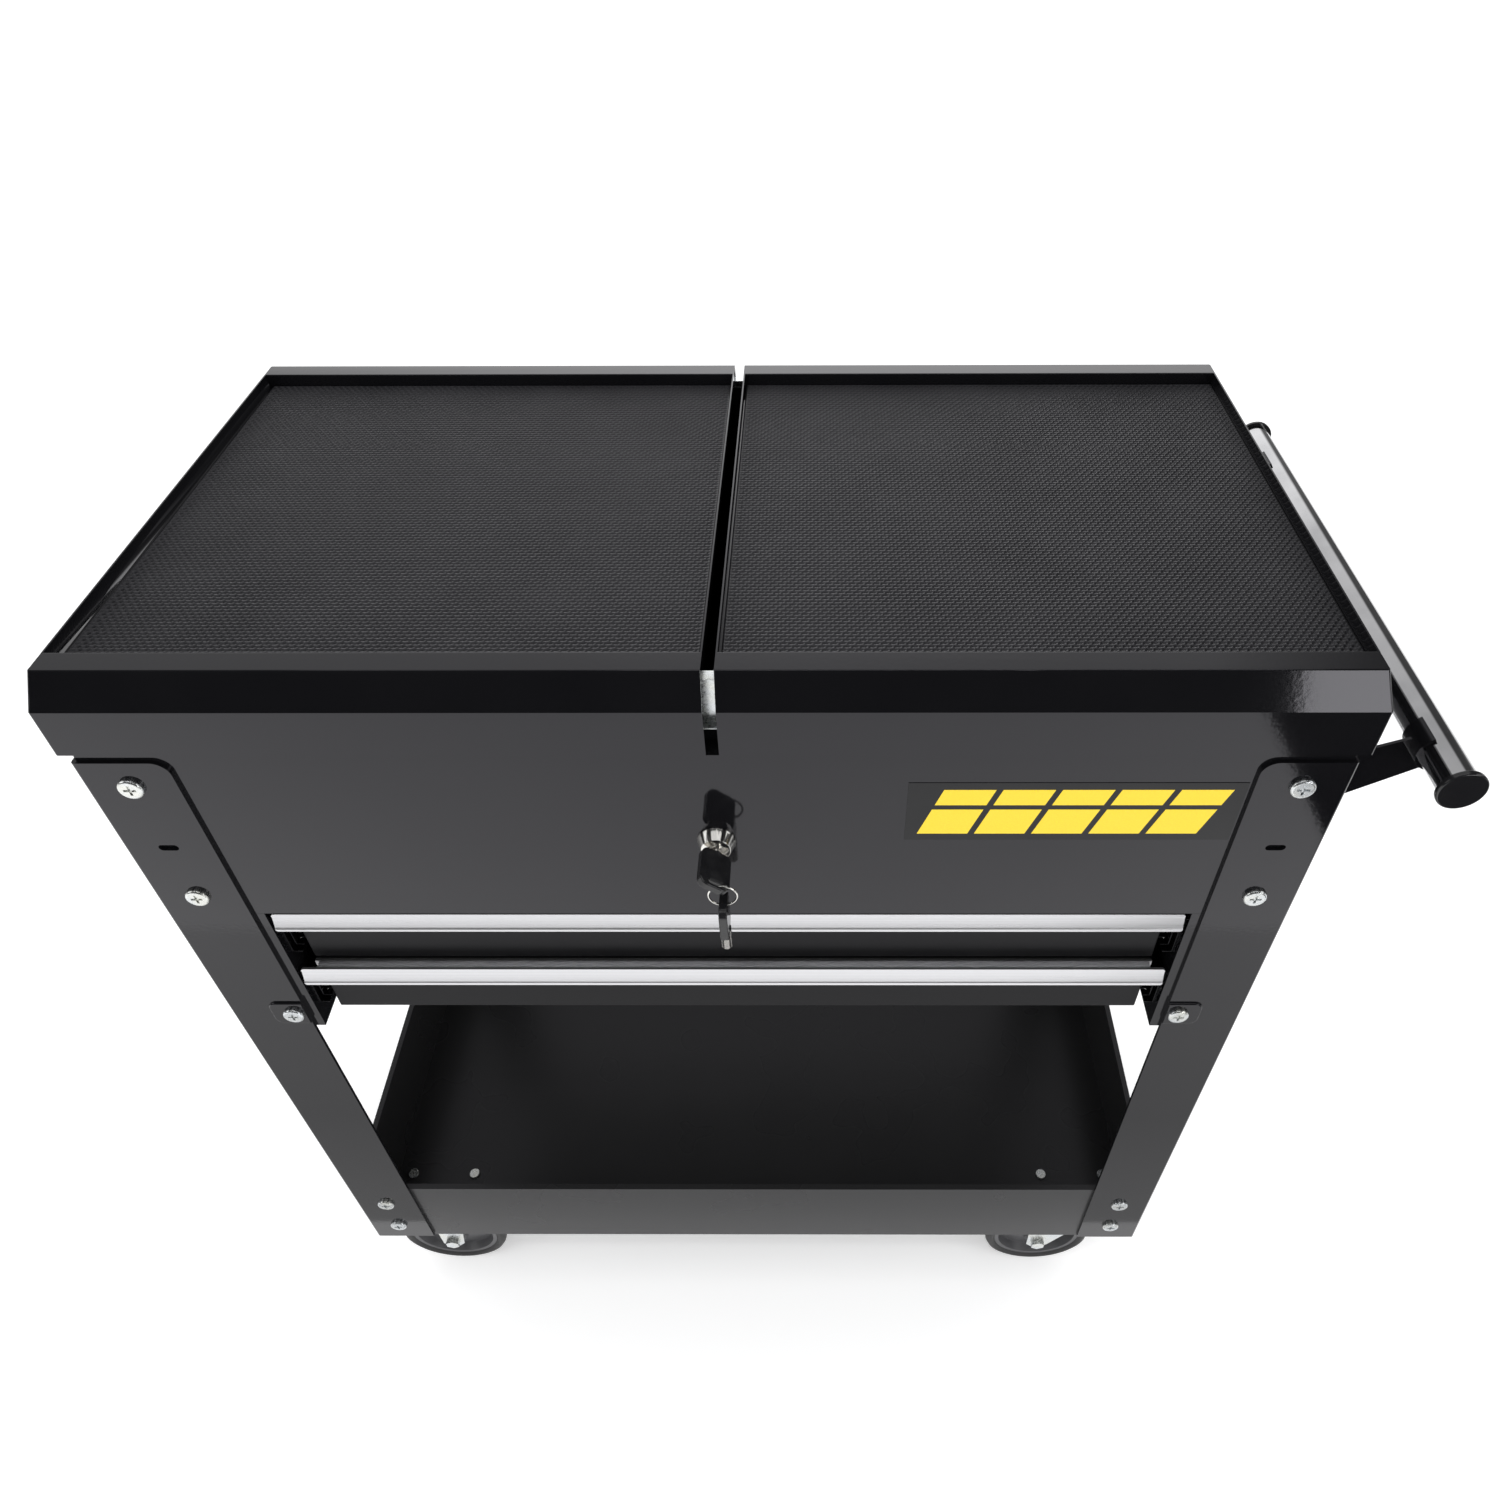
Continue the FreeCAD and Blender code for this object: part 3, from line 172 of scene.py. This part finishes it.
def powder_coat(name, dark, light, rough, ior=1.43):
    """Black powder coat: faint orange peel, and slightly uneven gloss."""
    material, tree, shader = new_material(name)
    here = place(tree)
    cloud = noise(tree, here, 9.0, 2.0)
    spread = (0.15, 0.85)
    peel = noise(tree, here, 260.0, 2.0, 0.5)
    speck = noise(tree, here, 1900.0, 2.0, 0.6)
    link = tree.links.new
    link(tint(tree, cloud, dark, light, spread), shader.inputs["Base Color"])
    link(ramp(tree, cloud, *rough, spread), shader.inputs["Roughness"])
    orange = bump(tree, peel, 0.00005, 0.35)
    link(bump(tree, speck, 0.00001, 0.15, orange), shader.inputs["Normal"])
    shader.inputs["IOR"].default_value = ior
    shader.inputs["Specular Tint"].default_value = COOL_SHEEN
    return material


def mat_rubber():
    """Foamed non-slip matting: dull black with a fine grain, and painted shade that darkens the colour
    down in its cells.
    """
    material, tree, shader = new_material("foamed_mat_rubber")
    here = place(tree)
    cloud = noise(tree, here, 14.0, 3.0)
    grain = noise(tree, here, 1500.0, 3.0, 0.7)
    link = tree.links.new
    strand = tint(tree, cloud, (0.010, 0.010, 0.0115), (0.018, 0.018, 0.020))
    cell = tree.nodes.new("ShaderNodeAttribute")
    cell.attribute_name = CELL_SHADE_DEPTH
    # painted shade: the colour darkens towards black with the depth of each hole
    shade = blend(tree, cell.outputs["Fac"], strand, (0.0015, 0.0015, 0.0016, 1))
    link(shade, shader.inputs["Base Color"])
    link(ramp(tree, grain, 0.34, 0.55), shader.inputs["Roughness"])
    link(bump(tree, grain, 0.00012, 0.6), shader.inputs["Normal"])
    shader.inputs["IOR"].default_value = 1.46
    shader.inputs["Specular Tint"].default_value = COOL_SHEEN
    return material


def extruded_aluminium():
    """Satin anodised extrusion, with die lines along X."""
    material, tree, shader = new_material("satin_aluminium_extrusion")
    along = place(tree, (1.5, 900.0, 900.0))
    lines = noise(tree, along, 1.0, 4.0, 0.6)
    cloud = noise(tree, place(tree), 12.0, 2.0)
    link = tree.links.new
    link(tint(tree, lines, (0.62, 0.62, 0.635), (0.76, 0.76, 0.775)),
         shader.inputs["Base Color"])
    link(ramp(tree, lines, 0.26, 0.40), shader.inputs["Roughness"])
    fine = bump(tree, lines, 0.00002, 0.5)
    link(bump(tree, cloud, 0.00005, 0.2, fine), shader.inputs["Normal"])
    shader.inputs["Metallic"].default_value = 1.0
    return material


def polished(name, dark, light, rough, along=(260.0, 2.0, 260.0)):
    """Polished plating with faint polishing lines."""
    material, tree, shader = new_material(name)
    lines = noise(tree, place(tree, along), 1.0, 3.0, 0.6)
    cloud = noise(tree, place(tree), 22.0, 3.0)
    link = tree.links.new
    link(tint(tree, cloud, dark, light), shader.inputs["Base Color"])
    link(ramp(tree, lines, *rough), shader.inputs["Roughness"])
    link(bump(tree, lines, 0.00001, 0.35), shader.inputs["Normal"])
    shader.inputs["Metallic"].default_value = 1.0
    return material


def zinc():
    """Bright zinc plating: cool, slightly mottled, with a trace of yellow passivation."""
    material, tree, shader = new_material("bright_zinc_plating")
    here = place(tree)
    mottle = noise(tree, here, 420.0, 4.0, 0.65)
    cloud = noise(tree, here, 60.0, 2.0)
    link = tree.links.new
    cool = tint(tree, mottle, (0.55, 0.58, 0.60), (0.78, 0.80, 0.81))
    yellowed = ramp(tree, cloud, 0.0, 0.35, (0.45, 0.7))
    link(blend(tree, yellowed, cool, (0.80, 0.77, 0.62, 1)), shader.inputs["Base Color"])
    link(ramp(tree, mottle, 0.20, 0.36), shader.inputs["Roughness"])
    link(bump(tree, mottle, 0.00003, 0.4), shader.inputs["Normal"])
    shader.inputs["Metallic"].default_value = 1.0
    return material


def moulded(name, dark, light, rough, grain_scale, grain_depth, ior=1.5):
    """Moulded plastic or rubber with a fine spark-eroded grain."""
    material, tree, shader = new_material(name)
    here = place(tree)
    cloud = noise(tree, here, 18.0, 2.0)
    grain = noise(tree, here, grain_scale, 3.0, 0.6)
    link = tree.links.new
    link(tint(tree, cloud, dark, light), shader.inputs["Base Color"])
    link(ramp(tree, grain, *rough), shader.inputs["Roughness"])
    link(bump(tree, grain, grain_depth, 0.5), shader.inputs["Normal"])
    shader.inputs["IOR"].default_value = ior
    return material


def key_finish(name, axis, limit, side):
    """Black moulded head, and a nickel-plated shank beyond the limit along one axis."""
    material, tree, shader = new_material(name)
    here = place(tree)
    beyond = "GREATER_THAN" if side > 0 else "LESS_THAN"
    metal = maths(tree, beyond, along_axis(tree, here, axis), limit)
    cloud = noise(tree, here, 120.0, 3.0)
    grain = noise(tree, here, 1500.0, 3.0, 0.6)
    link = tree.links.new
    head = tint(tree, cloud, (0.008, 0.008, 0.009), (0.014, 0.014, 0.015))
    shank = tint(tree, cloud, (0.62, 0.60, 0.56), (0.76, 0.74, 0.70))
    link(blend(tree, metal, head, shank), shader.inputs["Base Color"])
    link(metal, shader.inputs["Metallic"])
    link(ramp(tree, grain, 0.12, 0.26), shader.inputs["Roughness"])
    link(bump(tree, grain, 0.00002, 0.4), shader.inputs["Normal"])
    return material


def printed_yellow():
    """Yellow print on the badge film."""
    material, tree, shader = new_material("printed_yellow")
    here = place(tree)
    dots = noise(tree, here, 900.0, 2.0)
    link = tree.links.new
    link(tint(tree, dots, (0.80, 0.57, 0.006), (0.87, 0.63, 0.012)),
         shader.inputs["Base Color"])
    link(ramp(tree, dots, 0.30, 0.40), shader.inputs["Roughness"])
    return material


COAT = powder_coat("gloss_black_powder_coat", (0.0042, 0.0042, 0.0050),
                   (0.0062, 0.0062, 0.0070), (0.045, 0.085))
# A lighter, rougher copy of the gloss coat for the shelf tray: its raised colour is painted light.
TRAY_PAINTED_LIGHT_COAT = powder_coat("black_powder_coat_tray_painted_light", (0.0150, 0.0150, 0.0155),
                        (0.0170, 0.0170, 0.0175), (0.26, 0.30), 1.38)
# A darker copy of the gloss coat for the drawer boxes: rougher, and with an IOR lower than real powder
# coat, it is painted shade on the drawer faces.
DRAWER_PAINTED_SHADE_COAT = powder_coat("black_powder_coat_drawer_painted_shade", (0.0050, 0.0050, 0.0055),
                          (0.0070, 0.0070, 0.0075), (0.30, 0.40), 1.25)
MAT = mat_rubber()
ALUMINIUM = extruded_aluminium()
DARK_CHROME = polished("dark_chrome", (0.40, 0.40, 0.41), (0.52, 0.52, 0.53), (0.07, 0.13))
CHROME = polished("bright_chrome", (0.66, 0.65, 0.62), (0.80, 0.79, 0.76), (0.07, 0.16))
ZINC = zinc()
BLACK_ZINC = polished("black_zinc_plating", (0.018, 0.018, 0.020), (0.040, 0.040, 0.042),
                      (0.22, 0.34))
PLASTIC = moulded("black_moulded_plastic", (0.009, 0.009, 0.010), (0.015, 0.015, 0.016),
                  (0.22, 0.38), 1600.0, 0.00004)
CAP_PLASTIC = moulded("glossy_black_plastic", (0.008, 0.008, 0.009), (0.012, 0.012, 0.013),
                      (0.10, 0.15), 1600.0, 0.00001)
FILM = moulded("badge_film", (0.007, 0.007, 0.008), (0.010, 0.010, 0.011), (0.10, 0.16),
               1200.0, 0.00001, 1.33)
TYRE = moulded("tyre_rubber", (0.018, 0.018, 0.019), (0.032, 0.031, 0.031), (0.45, 0.7),
               700.0, 0.00012)
HUB = moulded("grey_hub_nylon", (0.060, 0.060, 0.064), (0.085, 0.085, 0.090), (0.32, 0.48),
              1300.0, 0.00005)
YELLOW = printed_yellow()

BY_SLOT = {
    "black_powder_coat": COAT, "mat_rubber": MAT, "satin_aluminium": ALUMINIUM,
    "dark_chrome": DARK_CHROME, "bright_chrome": CHROME, "zinc_plated_steel": ZINC,
    "black_plastic": PLASTIC, "badge": FILM, "tyre_rubber": TYRE, "hub_nylon": HUB,
    "black_zinc_steel": BLACK_ZINC,
}
KEY_SHANK = 19 * MM
BY_NODE = {
    # The shelf tray's copy of the coat paints light, and the drawer boxes' copy paints shade.
    "handle_end_caps": CAP_PLASTIC, "shelf_tray": TRAY_PAINTED_LIGHT_COAT,
    "upper_drawer_box": DRAWER_PAINTED_SHADE_COAT, "lower_drawer_box": DRAWER_PAINTED_SHADE_COAT,
    "lock_key": key_finish("lock_key_finish", "Y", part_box("lock_key")[1].y - KEY_SHANK, 1),
    "spare_key": key_finish("spare_key_finish", "Z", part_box("spare_key")[0].z + KEY_SHANK, -1),
}
SLOT_OF = {part["node"]: part["material_slot"] for part in frame["record"]["subparts"]}

# Folded and pressed edges catch the light: each carried-over node gets a small bevel, in mm.
PLAIN_EDGE = 0.4
EDGE = {"frame_bolts": 0.25, "frame_nuts": 0.3, "caster_bolts": 0.3, "split_ring": 0,
        "lock_key": 0, "spare_key": 0, "lock_plug": 0.2, "lock_housing": 0.3,
        "badge_plate": 0.1, "leg_front_left": 1.4, "leg_front_right": 1.4,
        "leg_back_left": 0.8, "leg_back_right": 0.8, "left_lid_pan": 0.8,
        "right_lid_pan": 0.8}
# The least angle that counts as an edge, in degrees. The lids' folds are shallow.
PLAIN_FOLD = 40
FOLD_ANGLE = {"left_lid_pan": 12, "right_lid_pan": 12}
WELD_DISTANCE = 0.01 * MM
FLAT_ANGLE = 0.5


def finish_node(name, obj):
    """Gives a CAD node its material, clean flat faces and bevelled edges."""
    obj.data.materials.clear()
    obj.data.materials.append(BY_NODE.get(name) or BY_SLOT[SLOT_OF[name]])
    weld = obj.modifiers.new("weld", "WELD")
    weld.merge_threshold = WELD_DISTANCE
    flat = obj.modifiers.new("flat", "DECIMATE")
    flat.decimate_type = "DISSOLVE"
    flat.angle_limit = math.radians(FLAT_ANGLE)
    width = EDGE.get(name, PLAIN_EDGE)
    if width:
        bevel = obj.modifiers.new("edge", "BEVEL")
        bevel.width = width * MM
        bevel.segments = 2
        bevel.limit_method = "ANGLE"
        bevel.angle_limit = math.radians(FOLD_ANGLE.get(name, PLAIN_FOLD))
        bevel.use_clamp_overlap = True
        bevel.harden_normals = True
    for polygon in obj.data.polygons:
        polygon.use_smooth = True
    smooth = obj.modifiers.new("normals", "WEIGHTED_NORMAL")
    smooth.keep_sharp = True


for node_name, node_object in nodes.items():
    finish_node(node_name, node_object)


# ---------------------------------------------------------------- mesh helpers
def mesh_object(name, points, faces, material, smooth=False):
    """A new object from points and faces."""
    mesh = bpy.data.meshes.new(name)
    mesh.from_pydata(points, [], faces)
    mesh.materials.append(material)
    mesh.polygons.foreach_set("use_smooth", [smooth] * len(mesh.polygons))
    mesh.update()
    obj = bpy.data.objects.new(name, mesh)
    scene.collection.objects.link(obj)
    return obj


def grid_faces(columns, rows, first=0):
    """Quads of a grid whose points run column by column within each row."""
    index = first + np.arange(columns * rows).reshape(rows, columns)
    return np.stack([index[:-1, :-1], index[:-1, 1:], index[1:, 1:], index[1:, :-1]],
                    axis=-1).reshape(-1, 4)


# ---------------------------------------------------------------- mats
CELL_X = 5.7 * MM
CELL_Y = 3.65 * MM
CELL_COLUMNS = 4
CELL_ROWS = 3
HOLE_DEEP = 2.0 * MM
# parts of the hole's depth beside its middle and behind it
HOLE_SIDE = 0.8
HOLE_BACK = 0.5
MAT_BORDER = 1.6 * MM
MAT_EDGE_DROP = 0.5 * MM


def mat_piece(node_name, body):
    """Open-cell matting: staggered rows of oval holes in a soft sheet."""
    low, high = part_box(node_name)
    wide = high.x - low.x - 2 * MAT_BORDER
    deep = high.y - low.y - 2 * MAT_BORDER
    columns = round(wide / CELL_X) * CELL_COLUMNS
    rows = round(deep / CELL_Y) * CELL_ROWS
    column = np.arange(columns + 1)
    row = np.arange(rows + 1)
    x = low.x + MAT_BORDER + wide * column / columns
    y = low.y + MAT_BORDER + deep * row / rows
    band, step = np.divmod(row[:, None], CELL_ROWS)
    middle = CELL_COLUMNS // 2
    phase = (column[None, :] + middle * (band % 2)) % CELL_COLUMNS
    depth = np.zeros((rows + 1, columns + 1))
    depth[(phase == middle) & (step == 1)] = HOLE_DEEP
    depth[(abs(phase - middle) == 1) & (step == 1)] = HOLE_DEEP * HOLE_SIDE
    depth[(phase == middle) & (step == 2)] = HOLE_DEEP * HOLE_BACK
    depth[0, :] = depth[-1, :] = depth[:, 0] = depth[:, -1] = 0
    edge = np.array([low.x, *x, high.x]), np.array([low.y, *y, high.y])
    height = np.full((rows + 3, columns + 3), high.z)
    height[1:-1, 1:-1] -= depth
    height[0, :] = height[-1, :] = high.z - MAT_EDGE_DROP
    height[:, 0] = height[:, -1] = high.z - MAT_EDGE_DROP
    across, along = np.meshgrid(*edge)
    points = np.stack([across, along, height], axis=-1).reshape(-1, 3)
    faces = grid_faces(columns + 3, rows + 3)
    count = len(points)
    ring = rim_loop(columns + 3, rows + 3)
    skirt = points[ring].copy()
    skirt[:, 2] = low.z
    size = len(ring)
    walls = [(ring[i], count + i, count + (i + 1) % size, ring[(i + 1) % size])
             for i in range(size)]
    all_points = np.vstack([points, skirt])
    all_faces = [tuple(f) for f in faces.tolist()] + [tuple(int(v) for v in w) for w in walls]
    all_faces.append(tuple(reversed(range(count, count + size))))
    piece = mesh_object(node_name + "_open_cells", all_points.tolist(), all_faces, MAT, True)
    # each point's depth in its hole, which paints shade into the cells
    shade = np.zeros(len(all_points), np.float32)
    shade[:count] = np.clip((high.z - points[:, 2]) / HOLE_DEEP, 0, 1)
    cell = piece.data.attributes.new(CELL_SHADE_DEPTH, "FLOAT", "POINT")
    cell.data.foreach_set("value", shade)
    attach(piece, body)
    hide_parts(node_name)


def rim_loop(columns, rows):
    """The grid's outer points, counter-clockwise from its first."""
    bottom = list(range(columns))
    right = [columns * (r + 1) - 1 for r in range(1, rows)]
    top = [columns * (rows - 1) + c for c in range(columns - 2, -1, -1)]
    left = [columns * r for r in range(rows - 2, 0, -1)]
    return bottom + right + top + left


mat_piece("left_lid_mat", "left_lid")
mat_piece("right_lid_mat", "right_lid")


# ---------------------------------------------------------------- badge print
PRINT_PROUD = 0.15 * MM
PRINT_SUNK = 0.05 * MM
PRINT_MARGIN_X = 9 * MM
PRINT_MARGIN_Z = 7 * MM
BAR_COUNT = 5
BAR_GAP = 5 * MM
# parts of the print's height
BAR_LEAN = 0.36
BAR_ROWS = ((0.0, 0.56), (0.66, 1.0))


def badge_print():
    """A plain mark on the badge film: leaning bars in two rows."""
    low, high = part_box("badge_plate")
    bottom = low.z + PRINT_MARGIN_Z
    tall = high.z - PRINT_MARGIN_Z - bottom
    lean = tall * BAR_LEAN
    span = high.x - low.x - 2 * PRINT_MARGIN_X - lean
    bar = (span - BAR_GAP * (BAR_COUNT - 1)) / BAR_COUNT
    points, faces = [], []
    for i in range(BAR_COUNT):
        start = low.x + PRINT_MARGIN_X + i * (bar + BAR_GAP)
        for lower, upper in BAR_ROWS:
            corners = ((0, lower), (bar, lower), (bar, upper), (0, upper))
            n = len(points)
            for y in (low.y - PRINT_PROUD, low.y + PRINT_SUNK):
                points += [(start + side + lean * part, y, bottom + tall * part)
                           for side, part in corners]
            faces += [(n, n + 1, n + 2, n + 3), (n + 7, n + 6, n + 5, n + 4)]
            faces += [(n + k, n + 4 + k, n + 4 + (k + 1) % 4, n + (k + 1) % 4)
                      for k in range(4)]
    piece = mesh_object("badge_stripes", points, faces, YELLOW)
    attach(piece, "cart_frame")


badge_print()


# ---------------------------------------------------------------- balls in the slides
BALL_RADIUS = 1.55 * MM
BALLS_IN_ROW = 14
BALL_FIRST = 6 * MM
BALL_PITCH = 7 * MM
# the tracks' distances above and below a slide's middle, and their insets from its sides
BALL_TRACKS = (19.65 * MM, 15.15 * MM)
LID_INSET = 4.2 * MM
DRAWER_INSET = 3.4 * MM


def ball(centre, radius, rings=6, around=10):
    """A ball's points and faces."""
    points = [(centre[0], centre[1], centre[2] + radius)]
    for i in range(1, rings):
        a = math.pi * i / rings
        for j in range(around):
            b = 2 * math.pi * j / around
            points.append((centre[0] + radius * math.sin(a) * math.cos(b),
                           centre[1] + radius * math.sin(a) * math.sin(b),
                           centre[2] + radius * math.cos(a)))
    points.append((centre[0], centre[1], centre[2] - radius))
    last = len(points) - 1
    faces = [(0, 1 + j, 1 + (j + 1) % around) for j in range(around)]
    for i in range(rings - 2):
        base = 1 + i * around
        faces += [(base + j, base + around + j, base + around + (j + 1) % around,
                   base + (j + 1) % around) for j in range(around)]
    base = last - around
    faces += [(base + j, last, base + (j + 1) % around) for j in range(around)]
    return points, faces


def ball_rows(name, body, spots):
    """The balls between a slide's members, as one piece that rides with the middle member."""
    points, faces = [], []
    for spot in spots:
        more, quads = ball(spot, BALL_RADIUS)
        shift = len(points)
        points += more
        faces += [tuple(i + shift for i in face) for face in quads]
    piece = mesh_object(name, points, faces, CHROME, True)
    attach(piece, body)


def slide_balls():
    """Rows of balls at one end of each middle member: inner end of the lids', front of the drawers'."""
    steps = [BALL_FIRST + BALL_PITCH * i for i in range(BALLS_IN_ROW)]
    for side in ("left", "right"):
        low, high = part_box(side + "_lid_middle_rails")
        inner, way = (high.x, -1) if side == "left" else (low.x, 1)
        heights = track_heights(low, high)
        spots = [(inner + way * step, y, z) for y in (low.y + LID_INSET, high.y - LID_INSET)
                 for step in steps for z in heights]
        ball_rows(side + "_lid_slide_balls", side + "_lid_middle", spots)
    for level in ("upper", "lower"):
        low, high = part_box(level + "_drawer_middle_rails")
        heights = track_heights(low, high)
        spots = [(x, low.y + step, z) for x in (low.x + DRAWER_INSET, high.x - DRAWER_INSET)
                 for step in steps for z in heights]
        ball_rows(level + "_drawer_slide_balls", level + "_drawer_middle", spots)


def track_heights(low, high):
    """The heights of the ball tracks of a slide between two corners."""
    middle = (low.z + high.z) / 2
    return [middle + way * track for way in (-1, 1) for track in BALL_TRACKS]


slide_balls()


# ---------------------------------------------------------------- stage and light
def stage_plane(name, corners, material, camera=True):
    """A flat sheet of the stage, which is no part of the object."""
    obj = mesh_object(name, corners, [(0, 1, 2, 3)], material)
    obj.visible_camera = camera
    return obj


def plain(name, colour, glow=0.0):
    """A dull material of one colour that may also glow."""
    material, _, shader = new_material(name)
    shader.inputs["Base Color"].default_value = (*colour, 1)
    shader.inputs["Roughness"].default_value = 0.9
    shader.inputs["Specular IOR Level"].default_value = 0.0
    shader.inputs["Emission Color"].default_value = (*colour, 1)
    shader.inputs["Emission Strength"].default_value = glow
    return material


FLOOR = plain("pale_floor", (0.93, 0.93, 0.93), 0.29)
DARK = plain("dark_card", (0.003, 0.003, 0.003))
FLOOR_REACH = 14
CARD_HEIGHT = 10 * MM
# The floor's lit part ends here in front and on the right.
LIT_FRONT = -3.2
LIT_RIGHT = 0.93
DARK_RIGHT_X = (LIT_RIGHT, 3)
DARK_RIGHT_Y = (LIT_FRONT, -0.72)
NEAR_X = (-1.1, LIT_RIGHT)
NEAR_Y = (-0.78, -0.3)
# (y, strength) where the light near the cart starts and stops fading
FADE_FAR = (NEAR_Y[0], 1.1)
FADE_NEAR = (-0.45, 0.62)


def rectangle_at(x, y, z):
    """A level rectangle's corners, from its ranges along X and Y."""
    return [(x[0], y[0], z), (x[1], y[0], z), (x[1], y[1], z), (x[0], y[1], z)]


def shade_card(name, x, y, material):
    """A card that only reflections see: the shaded or unlit part of a studio's floor."""
    obj = stage_plane(name, rectangle_at(x, y, CARD_HEIGHT), material, camera=False)
    obj.visible_diffuse = False
    obj.visible_shadow = False


def fading_shade(far, near):
    """The floor's light, fading towards the cart: (y, strength) at both ends."""
    material, tree, shader = new_material("fading_shade")
    along_y = along_axis(tree, place(tree), "Y")
    strength = ramp(tree, along_y, far[1], near[1], (far[0], near[0]))
    shader.inputs["Base Color"].default_value = (0, 0, 0, 1)
    shader.inputs["Specular IOR Level"].default_value = 0.0
    shader.inputs["Emission Color"].default_value = (1, 1, 1, 1)
    tree.links.new(strength, shader.inputs["Emission Strength"])
    return material


reach = (-FLOOR_REACH, FLOOR_REACH)
stage_plane("floor", rectangle_at(reach, reach, 0), FLOOR)
shade_card("front_card", reach, (-FLOOR_REACH, LIT_FRONT), DARK)
shade_card("front_right_card", DARK_RIGHT_X, DARK_RIGHT_Y, DARK)
shade_card("near_card", NEAR_X, NEAR_Y, fading_shade(FADE_FAR, FADE_NEAR))


def area_light(name, location, target, size, power):
    """A rectangular light that faces its target; size in metres, power in watts."""
    data = bpy.data.lights.new(name, "AREA")
    data.shape = "RECTANGLE"
    data.size, data.size_y = size
    data.energy = power
    obj = bpy.data.objects.new(name, data)
    scene.collection.objects.link(obj)
    obj.location = location
    aim = Vector(target) - Vector(location)
    obj.rotation_euler = aim.to_track_quat("-Z", "Y").to_euler()


area_light("soft_top", (0.0, 0.3, 3.4), (0, 0, 0.9), (3.0, 1.6), 14)
area_light("soft_right", (3.0, -1.2, 2.3), (0.2, 0, 0.8), (1.4, 1.4), 14)
area_light("soft_left", (-3.0, -1.0, 2.3), (-0.2, 0, 0.8), (1.4, 1.4), 14)
area_light("edge_strip", (0.0, -1.35, 3.5), (0, -0.23, 1.0), (3.0, 0.14), 9)
area_light("low_right", (1.98, -2.62, 0.78), (0.4, -0.22, 1.0), (1.05, 0.7), 12.5)


# What reflections see of the room: (position, shade) from front to back and from left to right.
FRONT_TO_BACK = ((0.0, 0.025), (0.30, 0.05), (0.58, 0.24), (0.76, 0.40), (0.91, 1.0))
LEFT_TO_RIGHT = ((0.34, 1.0), (0.48, 0.12), (0.76, 0.12), (0.84, 1.0))
BACKDROP = 2.4
SEEN_WHITE = (0.92, 0.92, 0.925, 1)


def grey_ramp(tree, value, stops):
    """A value's shade of grey: (value, shade) stops, with straight lines between them."""
    made = tree.nodes.new("ShaderNodeValToRGB")
    elements = made.color_ramp.elements
    while len(elements) < len(stops):
        elements.new(0.5)
    for element, (at, grey) in zip(elements, stops):
        element.position = at
        element.color = (grey, grey, grey, 1)
    tree.links.new(value, made.inputs["Fac"])
    return made.outputs["Color"]


def studio_world():
    """White to the eye and to the floor; reflections see a bright backdrop and a dark front."""
    world = bpy.data.worlds.new("studio")
    scene.world = world
    world.use_nodes = True
    tree = world.node_tree
    background = next(n for n in tree.nodes if n.type == "BACKGROUND")
    ahead = tree.nodes.new("ShaderNodeTexCoord").outputs["Generated"]
    depth = grey_ramp(tree, along_axis(tree, ahead, "Y"), FRONT_TO_BACK)
    side = grey_ramp(tree, along_axis(tree, ahead, "X"), LEFT_TO_RIGHT)
    glow = maths(tree, "MULTIPLY", maths(tree, "MULTIPLY", depth, side), BACKDROP)
    path = tree.nodes.new("ShaderNodeLightPath")
    shade = blend(tree, path.outputs["Is Glossy Ray"], SEEN_WHITE, glow)
    tree.links.new(shade, background.inputs["Color"])


studio_world()

scene.view_settings.view_transform = "Standard"
scene.view_settings.look = "None"


# ---------------------------------------------------------------- camera
# The photograph's camera: sensor and lens in mm, shift in sensor widths, place in metres and
# angles in radians.
SENSOR = 36.0
LENS = 26.4624
SHIFT_X = -0.038667
EYE_X = 0.02635
EYE_Y = -0.76215
EYE_OVER_LIDS = 0.4549
PITCH = 0.7638
YAW = 0.0063
ROLL = -0.0049


def camera():
    """Stands where the photograph was taken from."""
    data = bpy.data.cameras.new("camera")
    data.sensor_fit = "HORIZONTAL"
    data.sensor_width = SENSOR
    data.lens = LENS
    data.shift_x = SHIFT_X
    data.clip_end = 60
    obj = bpy.data.objects.new("camera", data)
    scene.collection.objects.link(obj)
    eye = Vector((EYE_X, EYE_Y, cad_bounds[1][2] + EYE_OVER_LIDS))
    side = Vector((math.cos(YAW), math.sin(YAW), 0))
    ahead = Vector((-math.sin(YAW), math.cos(YAW), 0))
    up = Vector((0, 0, 1))
    forward = ahead * math.cos(PITCH) - up * math.sin(PITCH)
    upward = ahead * math.sin(PITCH) + up * math.cos(PITCH)
    right = side * math.cos(ROLL) + upward * math.sin(ROLL)
    above = upward * math.cos(ROLL) - side * math.sin(ROLL)
    turn = Matrix((right, above, -forward)).transposed()
    obj.matrix_world = Matrix.Translation(eye) @ turn.to_4x4()
    scene.camera = obj


camera()
